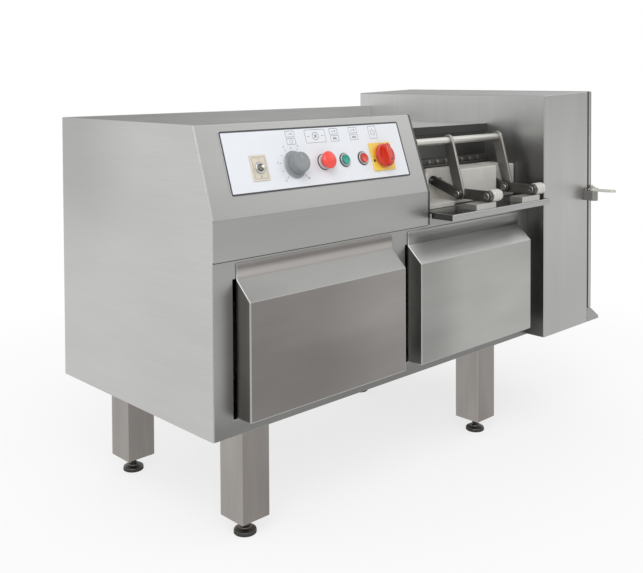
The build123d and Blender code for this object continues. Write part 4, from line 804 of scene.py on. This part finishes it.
class KnifeEnd(bpy.types.Operator):
    """Housing, door, gasket, chute, hinges and latch at the knife end"""
    bl_idname = "strip_cutter.knife_end"
    bl_label = "Knife end"

    def execute(self, context):
        folded_sheets((
            # Painted shade: the tall box's left faces get a finish darkened beside the press
            ("knife_housing", "stainless_box_sheet", True, ("stainless_press_side", TO_LEFT, 0.9)),
            ("side_door", "stainless_sheet_upright", True),
            ("discharge_chute", "stainless_frame_sheet", True),
        ), context.scene.strip_sheet)
        for node, material in (
            ("hinge_leaves", "stainless_flat"), ("door_fittings", "stainless_flat"),
            ("latch_bracket", "stainless_latch"), ("door_latch", "stainless_bar"),
        ):
            softened(node, material, 0.9 * MM, 0.6 * MM)
        dressed("door_gasket", "rubber")
        pivot = JOINT_OF["latch_turn"]["pos_m"]
        top = (pivot[0], pivot[1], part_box("door_latch")[1].z)
        crown = [(0, 0), (5.6, 0), (6, 0.6), (6, 3.4), (5.2, 4.2), (0, 4.2)]
        piece_of("latch_bolt", [turned(top, Z_AXIS, crown, HEXAGON)], "zinc_plate", "door_latch", "latch")
        low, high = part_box("hinge_leaves")
        leaf_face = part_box("knife_housing")[1].y + 4 * MM
        end_inset, inner_inset, columns = 12 * MM, 48 * MM, (9 * MM, 24 * MM)
        dome = [(0, 0)] + [(4.2 * cos(a), 2.0 * sin(a)) for a in np.linspace(0, pi / 2, 7)]
        screws = [
            turned((low.x + column, leaf_face, z), Y_AXIS, dome, 20)
            for z in (low.z + end_inset, low.z + inner_inset, high.z - inner_inset, high.z - end_inset)
            for column in columns]
        piece_of("hinge_screws", screws, "zinc_plate", "hinge_leaves")
        return {"FINISHED"}


class KnivesAndDrive(bpy.types.Operator):
    """Grids, cut-off knife, and the drives inside the cabinet"""
    bl_idname = "strip_cutter.knives_and_drive"
    bl_label = "Knives and drive"

    def execute(self, context):
        for node, material in (
            ("grid_carrier", "stainless_flat"), ("vertical_grid", "knife_steel"),
            ("horizontal_grid", "knife_steel"), ("knife_bearing", "casting"),
            ("knife_shaft", "stainless_bar"), ("cutoff_knife", "knife_steel"),
            ("knife_gearmotor", "motor_enamel"), ("electric_motor", "motor_enamel"),
            ("hydraulic_pump", "casting"), ("oil_tank", "tank_enamel"),
        ):
            dressed(node, material)
        return {"FINISHED"}


class ControlPlate(bpy.types.Operator):
    """White plate with its printed border, plain icons and dial marks"""
    bl_idname = "strip_cutter.control_plate"
    bl_label = "Control plate"

    def execute(self, context):
        controls = context.scene.strip_controls
        softened("control_plate", "laminate", 0.4 * MM, 0.3 * MM)
        left, right, low, high = PLATE_SPAN
        border = outline(
            (left + right) / 2, (low + high) / 2, right - left - 0.4, high - low - 0.4,
            controls.border_width / MM, 3.6)
        piece_of("plate_border", [border], "ink", "control_plate", loops=True)
        self.print_icons()
        self.print_dial(controls.dial_marks)
        return {"FINISHED"}

    def print_icons(self):
        """Framed icons over the controls: bars and a ring, a crossed ring, two pairs of marks, and a
        ring with a bar in its gap."""
        bars_icon, wide_icon, first_pair, second_pair, power_icon = 252, 327, 386, 449, 515
        line, upper, lower = 0.7, ICON_ROW + 8.5, ICON_ROW - 8.5
        frames, bars = [], []
        for u in (bars_icon, first_pair, second_pair):
            frames += [outline(u, s, 26, 14, line) for s in (lower, upper)]
        frames.append(outline(wide_icon, ICON_ROW, 62, 31, line, 3))
        frames.append(outline(power_icon, ICON_ROW, 26, 31, line))
        bars += [mark(bars_icon + k * 3, upper, 0.8, 3 + k) for k in range(-2, 3)]
        bars += circle_mark(bars_icon, lower, 4, 0.6)
        bars += circle_mark(wide_icon, ICON_ROW, 9, 0.9)
        bars += [mark(wide_icon, ICON_ROW, 11, 1.6, lean) for lean in (pi / 4, -pi / 4)]
        bars += [mark(wide_icon + side * 22, ICON_ROW + 0.3, 7, 0.9) for side in (-1, 1)]
        for u, lean in ((first_pair, 0.0), (second_pair, pi / 2)):
            bars.append(mark(u - 4, upper, 6, 0.9, lean))
            bars += [mark(u + 4, upper, 5, 0.9, turn) for turn in (pi / 4, -pi / 4)]
            bars += [mark(u + k * 4, lower, 2.2, 5) for k in (-1, 0, 1)]
        bars += circle_mark(power_icon, ICON_ROW, 6.5, 0.8, radians(125), radians(415))
        bars.append(mark(power_icon, ICON_ROW + 5, 0.9, 8))
        piece_of("icon_frames", frames, "ink", "control_plate", loops=True)
        piece_of("icon_marks", bars, "ink", "control_plate")

    def print_dial(self, count):
        """Ticks round the speed knob over three quarters of a turn, with a figure at every other one."""
        tick_ring, figure_ring, start, sweep, ticks = 38, 46.5, 225, 270, []
        for place in range(count):
            turn = radians(start - sweep * place / (count - 1))
            u, s = KNOB_PLACE + tick_ring * cos(turn), CONTROL_ROW + tick_ring * sin(turn)
            ticks.append(mark(u, s, 6 if place % 5 == 0 else 4, 0.9, turn))
            if place % 2 == 0:
                u, s = KNOB_PLACE + figure_ring * cos(turn), CONTROL_ROW + figure_ring * sin(turn)
                figure(f"dial_figure_{place}", str(place), u, s, 6.5, "control_plate")
        piece_of("dial_ticks", ticks, "ink", "control_plate")


class ToggleSwitch(bpy.types.Operator):
    """Beige plate, ring nut, sleeve and bat of the toggle switch"""
    bl_idname = "strip_cutter.toggle_switch"
    bl_label = "Toggle switch"

    def execute(self, context):
        foot = np.array(JOINT_OF["toggle_tip"]["pos_m"])
        face, u = 3.5, middle_along("toggle_plate")
        centre = foot - face * MM * OUT
        softened("toggle_plate", "beige_plate", 0.5 * MM, 0.4 * MM)
        nut = [(7.3, 0), (12.4, 0), (13, 0.5), (13, 2.4), (12, 3), (7.3, 3), (7.3, 0)]
        sleeve = [
            (7.05, 3), (8.6, 3), (8.2, 4.05), (7.4, 4.65), (5.8, 4.65), (5.8, 4.05), (7.05, 4.05), (7.05, 3)]
        for name, grid, material, node in (
            ("ring_nut", turned(centre, OUT, nut, 48, flutes=24, depth=0.05, base=face), "satin_nickel",
             "toggle_lever"),
            ("sleeve", turned(centre, OUT, sleeve, base=face), "dark_plate", "toggle_lever"),
            ("legend", outline(u, CONTROL_ROW, 35, 47, 0.5, level=face), "ink", "toggle_plate"),
        ):
            piece_of("toggle_" + name, [grid], material, node, loops=True)
        figure("toggle_figure_on", "I", u, CONTROL_ROW + 19, 6, "toggle_plate", face)
        figure("toggle_figure_off", "0", u, CONTROL_ROW - 19, 6, "toggle_plate", face)
        tip = [(4 * cos(a), 11.6 + 4 * sin(a)) for a in np.linspace(0, pi / 2, 8)]
        bat = [(0, 0.8), (2.2, 0.8), (2.3, 4), (3.9, 10)] + tip
        piece_of("toggle_bat", [turned(foot, OUT, bat, 24)], "chrome", "toggle_lever", "toggle", True)
        return {"FINISHED"}


class SpeedKnob(bpy.types.Operator):
    """Grey speed knob with its skirt, fluted grip and pointer"""
    bl_idname = "strip_cutter.speed_knob"
    bl_label = "Speed knob"

    def execute(self, context):
        centre = JOINT_OF["speed_turn"]["pos_m"]
        flutes = context.scene.strip_controls.knob_flutes
        base = 1.8
        skirt = [(0, 0), (30.2, 0), (31, 0.8), (31, 2.4), (30, 3.6), (25, 6.4), (0, 6.4)]
        rim = [(30.2, 0), (31.4, 0.5), (31.4, 2), (30.2, 2.8), (30.2, 0)]
        grip = [
            (0, 6.4), (23.4, 6.4), (22.8, 25), (22, 27.6), (20.4, 28.7), (17, 29), (16.4, 28.5), (0, 28.5)]
        grip_grid = turned(centre, OUT, grip, flutes * 5, flutes, depth=0.045, base=base)
        pointer = mark(KNOB_PLACE, CONTROL_ROW + 12, 1.0, 9, 0.0, base + 28.55)
        skirt_line = mark(KNOB_PLACE, CONTROL_ROW + 27.6, 1.2, 4.5, 0.0, base + 4.9)
        for name, grids, material, replaced, loops in (
            ("skirt", [turned(centre, OUT, skirt, 72, base=base)], "grey_abs", True, False),
            ("rim", [turned(centre, OUT, rim, 72, base=base)], "light_grey_abs", False, True),
            ("grip", [grip_grid], "grey_abs", False, False),
            ("pointer", [pointer, skirt_line], "light_grey_abs", False, False),
        ):
            piece_of(
                "speed_knob_" + name, grids, material, "speed_knob", "speed_dial", replaced, loops=loops)
        return {"FINISHED"}


class PushButtons(bpy.types.Operator):
    """Emergency stop, start and stop buttons with their bezels"""
    bl_idname = "strip_cutter.push_buttons"
    bl_label = "Push buttons"

    def execute(self, context):
        heads = (("estop", "estop_head"), ("start", "start_button"), ("stop", "stop_button"))
        centres = {key: on_panel(middle_along(node), CONTROL_ROW, 0.0) for key, node in heads}
        collar = [(11.2, 0), (17, 0), (17, 3.6), (15.8, 5), (11.2, 5), (11.2, 0)]
        bezel = [
            (11.3, 0), (15, 0), (15, 3), (14.4, 3.9), (13.2, 4.2), (12, 3.9), (11.3, 2.6), (11.3, 0)]
        for name, profile, keys, material in (
            ("estop_collar", collar, ("estop",), "light_grey_abs"),
            ("button_bezels", bezel, ("start", "stop"), "satin_nickel"),
        ):
            grids = [turned(centres[key], OUT, profile, 48, base=PLATE_FACE) for key in keys]
            piece_of(name, grids, material, "button_collars", replaced="estop" in keys, loops=True)
        seals = []
        for key, inner in (("estop", 17.1), ("start", 15.1), ("stop", 15.1)):
            seal = [(inner, 0), (inner + 1.5, 0), (inner + 1.5, 1.4), (inner, 2), (inner, 0)]
            seals.append(turned(centres[key], OUT, seal, 48, base=PLATE_FACE))
        piece_of("button_seals", seals, "black_plastic", "door_gasket", loops=True)
        stem = [(0, -5), (10.7, -5), (10.7, 2.6), (15, 3.6), (18.4, 5), (19.7, 7.6), (20, 10.5)]
        dome = [
            (17.2 * cos(a) + 2.8 * cos(a) ** 4, 10.5 + 8.7 * sin(a)) for a in np.linspace(0.08, pi / 2, 12)]
        mushroom = turned(centres["estop"], OUT, stem + dome, 56, base=10.8)
        piece_of("estop_mushroom", [mushroom], "stop_red_plastic", "estop_head", "estop", True)
        cap = [(0, 4.8), (11, 4.8), (11, 7.2), (10.4, 8.1), (9.4, 8.5), (8.6, 8.1), (0, 7.9)]
        for key, material in (("start", "green_plastic"), ("stop", "red_plastic")):
            piece_of(
                key + "_cap", [turned(centres[key], OUT, cap, 44)], material, key + "_button", key, True)
        return {"FINISHED"}


class MainSwitch(bpy.types.Operator):
    """Yellow plate and red rotary grip of the main switch"""
    bl_idname = "strip_cutter.main_switch"
    bl_label = "Main switch"

    def execute(self, context):
        u, s, base, plate_face = middle_along("main_switch_plate"), CONTROL_ROW, 5.8, PLATE_FACE + 4
        softened("main_switch_plate", "yellow_plastic", 1.2 * MM, 0.8 * MM)
        figure("main_switch_off", "0", u - 30, s, 7, "main_switch_plate", plate_face)
        figure("main_switch_on", "I", u, s + 30.3, 6, "main_switch_plate", plate_face)
        window = mark(u - 30.5, s - 9, 6.5, 6.5, 0.0, plate_face)
        piece_of("main_switch_window", [window], "black_plastic", "main_switch_plate")
        disc = [
            (0, 0), (22, 0), (22, 3), (27.6, 4.2), (28.6, 5.4), (28.6, 11), (27.4, 13.4), (24.6, 14),
            (22, 12.6), (0, 12.2)]
        disc_grid = turned(on_panel(u, s, 0.0), OUT, disc, 64, base=base)
        eye = [(0, 0), (2.6, 0), (2.6, 0.3), (0, 0.3)]
        eye_grid = turned(on_panel(u, s - 14, base + 27.6), OUT, eye, 20)
        for name, grid, material, replaced in (
            ("disc", disc_grid, "red_plastic", True),
            ("grip", rounded_grip(u, s, base + 12.1), "red_plastic", False),
            ("eye", eye_grid, "black_plastic", False),
        ):
            piece_of(
                "main_switch_" + name, [grid], material, "main_switch_knob", "main_switch", replaced)
        return {"FINISHED"}


def rounded_grip(u, s, level):
    """Grid of the grip: a stadium of half-width w and half-length l is drawn at each height, and
    shrinks by a quarter circle near the top: inset = r * (1 - cos t), height = h - r * (1 - sin t)."""
    width, length, height, round_top, foot_flare, foot_height = 7.5, 26, 15.6, 5, 0.8, 1.5
    bend = np.linspace(0, pi / 2, 7)
    inset = np.concatenate(((-foot_flare, 0.0), round_top * (1 - np.cos(bend))))
    rise = np.concatenate(((0.0, foot_height), height - round_top * (1 - np.sin(bend))))
    angle = np.linspace(0, 2 * pi, 40, endpoint=False)
    reach = (width - inset)[:, None]
    x = reach * np.cos(angle)
    y = reach * np.sin(angle) + np.sign(np.sin(angle)) * (length - width)
    return on_panel(u + x, s + y, level + np.broadcast_to(rise[:, None], x.shape))


class LevellingFeet(bpy.types.Operator):
    """Levelling feet: rubber pad, turned disc, threaded stem and jam nut"""
    bl_idname = "strip_cutter.levelling_feet"
    bl_label = "Levelling feet"

    def execute(self, context):
        pad = [
            (0, 0), (24, 0), (25, 1), (25, 2.2), (24.2, 2.8), (25, 3.4), (25, 5.8), (24.4, 6.4), (0, 6.4)]
        disc = [
            (0, 6.4), (23.8, 6.4), (24.6, 7.2), (24, 8.6), (20, 11), (14, 12.6), (13, 15), (0, 15)]
        nut = [
            (7.5, 26.7), (12.6, 26.7), (13.8, 27.6), (13.8, 35.8), (12.6, 36.7), (7.5, 36.7), (7.5, 26.7)]
        for node in ("foot_front_left", "foot_front_right", "foot_rear_left", "foot_rear_right"):
            low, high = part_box(node)
            centre = ((low.x + high.x) / 2, (low.y + high.y) / 2, 0.0)
            body = frame["nodes"][node]["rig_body"]
            stem = threaded(
                centre, radius=8 * MM, low=14.5 * MM, high=74.5 * MM, pitch=2 * MM, depth=1.1 * MM)
            piece_of(node + "_pad", [turned(centre, Z_AXIS, pad, 48)], "rubber", node, body, True)
            piece_of(node + "_disc", [turned(centre, Z_AXIS, disc, 48)], "dark_plate", node, body)
            piece_of(node + "_stem", [stem], "dark_plate", node, body, sharp=60.0)
            nut_grid = turned(centre, Z_AXIS, nut, HEXAGON)
            piece_of(node + "_nut", [nut_grid], "dark_plate", node, body, loops=True)
        return {"FINISHED"}


class CableEntry(bpy.types.Operator):
    """Ribbed cable gland on the back"""
    bl_idname = "strip_cutter.cable_entry"
    bl_label = "Cable gland"

    def execute(self, context):
        low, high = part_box("cable_gland")
        centre = ((low.x + high.x) / 2, low.y, (low.z + high.z) / 2)
        nut = [(6.5, 0), (16, 0), (17.2, 1.2), (17.2, 7), (16, 8), (6.5, 8), (6.5, 0)]
        cap = [
            (6.5, 8), (14, 8), (14, 17), (12.6, 20.5), (10, 23), (8, 24), (6.5, 24), (6.5, 8)]
        for name, grid, replaced in (
            ("gland_nut", turned(centre, Y_AXIS, nut, HEXAGON), True),
            ("gland_cap", turned(centre, Y_AXIS, cap, 80, flutes=16, depth=0.06), False),
        ):
            piece_of(name, [grid], "black_plastic", "cable_gland", replaced=replaced, loops=True)
        return {"FINISHED"}


class StudioStage(bpy.types.Operator):
    """Camera of the photograph, pale floor, soft lamps and white world"""
    bl_idname = "strip_cutter.stage"
    bl_label = "Stage"

    def execute(self, context):
        stage = context.scene.strip_stage
        self.set_camera(context.scene, stage)
        reach = 14.0
        mesh = bpy.data.meshes.new("studio_floor")
        corners = [(-reach, -reach, 0), (reach, -reach, 0), (reach, reach, 0), (-reach, reach, 0)]
        mesh.from_pydata(corners, [], [(0, 1, 2, 3)])
        floor = bpy.data.objects.new("studio_floor", mesh)
        context.scene.collection.objects.link(floor)
        mesh.materials.append(studio_floor("studio_floor"))
        aim, lamp_size = Vector((0.0, 0.0, 0.5)), 2.6
        for name, place, power in (
            ("key_lamp", (-2.4, -2.0, 3.0), stage.key_power),
            ("fill_lamp", (2.4, -1.9, 2.8), stage.fill_power),
        ):
            lamp = bpy.data.lights.new(name, "AREA")
            lamp.shape = "SQUARE"
            lamp.size = lamp_size
            lamp.energy = power
            holder = bpy.data.objects.new(name, lamp)
            context.scene.collection.objects.link(holder)
            holder.location = place
            holder.rotation_euler = (aim - Vector(place)).to_track_quat("-Z", "Y").to_euler()
        self.light_world(context.scene, stage.world_strength)
        context.scene.view_settings.view_transform = "Standard"
        return {"FINISHED"}

    def set_camera(self, scene, stage):
        """Camera fitted to the photograph's edges, with the upward shift that keeps them upright."""
        yaw, pitch, roll = radians(43.747), radians(1.661), radians(-0.258)
        forward = Vector((sin(yaw) * cos(pitch), cos(yaw) * cos(pitch), -sin(pitch)))
        right = Vector((cos(yaw), -sin(yaw), 0.0))
        above = right.cross(forward)
        side = cos(roll) * right + sin(roll) * above
        top = -sin(roll) * right + cos(roll) * above
        data = bpy.data.cameras.new("photo_camera")
        data.sensor_width = 36.0
        data.lens = stage.focal_length
        data.shift_x, data.shift_y = 0.0008, -0.2864
        data.clip_end = 60.0
        camera = bpy.data.objects.new("photo_camera", data)
        scene.collection.objects.link(camera)
        turn = Matrix((side, top, -forward)).transposed().to_4x4()
        turn.translation = Vector((-1.7762, -1.7007, 0.9826))
        camera.matrix_world = turn
        scene.camera = camera

    def light_world(self, scene, strength):
        """White to the camera. Metal sees the same white, softly darker low on the front right and
        overhead, as a studio wall and ceiling are, and dark behind the machine, which gives the
        flat tops their dark line. Matt surfaces get the world's strength."""
        front_right, behind = (0.69, -0.72, -0.9), (0.69, 0.72, 0.0)
        world = bpy.data.worlds.new("studio_world")
        scene.world = world
        world.use_nodes = True
        tree = world.node_tree
        tree.nodes.clear()
        place = add(tree, "ShaderNodeTexCoord").outputs["Generated"]
        height = add(tree, "ShaderNodeSeparateXYZ", links={"Vector": place}).outputs["Z"]
        studio = add(tree, "ShaderNodeMapRange", limits(1.0, 0.90, 0.35, 0.9), {"Value": height})
        for direction, spread in (
            (front_right, limits(1.0, 0.36, 0.45, 0.98)), (behind, limits(1.0, 0.22, 0.86, 0.97)),
        ):
            towards = add(tree, "ShaderNodeVectorMath", {1: direction}, {0: place}, operation="DOT_PRODUCT")
            wall = add(tree, "ShaderNodeMapRange", spread, {"Value": towards.outputs["Value"]})
            studio = add(tree, "ShaderNodeMath", links={0: studio, 1: wall}, operation="MULTIPLY")
        rays = add(tree, "ShaderNodeLightPath").outputs
        matt = add(
            tree, "ShaderNodeMix", {"A": strength}, {"Factor": rays["Is Glossy Ray"], "B": studio})
        clear = add(
            tree, "ShaderNodeMath", links={0: rays["Is Camera Ray"], 1: rays["Is Transmission Ray"]},
            operation="MAXIMUM")
        level = add(tree, "ShaderNodeMix", {"B": 1.0}, {"Factor": clear, "A": matt})
        white = add(tree, "ShaderNodeBackground", {"Color": (1.0, 1.0, 1.0, 1.0)}, {"Strength": level})
        add(tree, "ShaderNodeOutputWorld", links={"Surface": white})


OPERATORS = (
    StudioStage, SheetCabinet, SidePress, PressFixings, KnifeEnd, KnivesAndDrive, ControlPlate, ToggleSwitch,
    SpeedKnob, PushButtons, MainSwitch, LevellingFeet, CableEntry,
)


class StripCutterPanel(bpy.types.Panel):
    """Lists the pieces of the strip cutting machine"""
    bl_idname = "VIEW3D_PT_strip_cutter"
    bl_label = "Strip cutting machine"
    bl_space_type = "VIEW_3D"
    bl_region_type = "UI"
    bl_category = "Strip cutter"

    def draw(self, context):
        for operator in OPERATORS:
            self.layout.operator(operator.bl_idname)


SETTINGS = (
    ("strip_sheet", SheetMetalSettings), ("strip_press", PressSettings),
    ("strip_controls", ControlSettings), ("strip_stage", StageSettings),
)


def register():
    for name, group in SETTINGS:
        bpy.utils.register_class(group)
        setattr(bpy.types.Scene, name, PointerProperty(type=group))
    for entry in OPERATORS + (StripCutterPanel,):
        bpy.utils.register_class(entry)


def unregister():
    for entry in (StripCutterPanel,) + OPERATORS[::-1]:
        bpy.utils.unregister_class(entry)
    for name, group in SETTINGS[::-1]:
        delattr(bpy.types.Scene, name)
        bpy.utils.unregister_class(group)


def main():
    register()
    for operator in OPERATORS:
        group, action = operator.bl_idname.split(".")
        getattr(getattr(bpy.ops, group), action)()


if __name__ == "__main__":
    main()
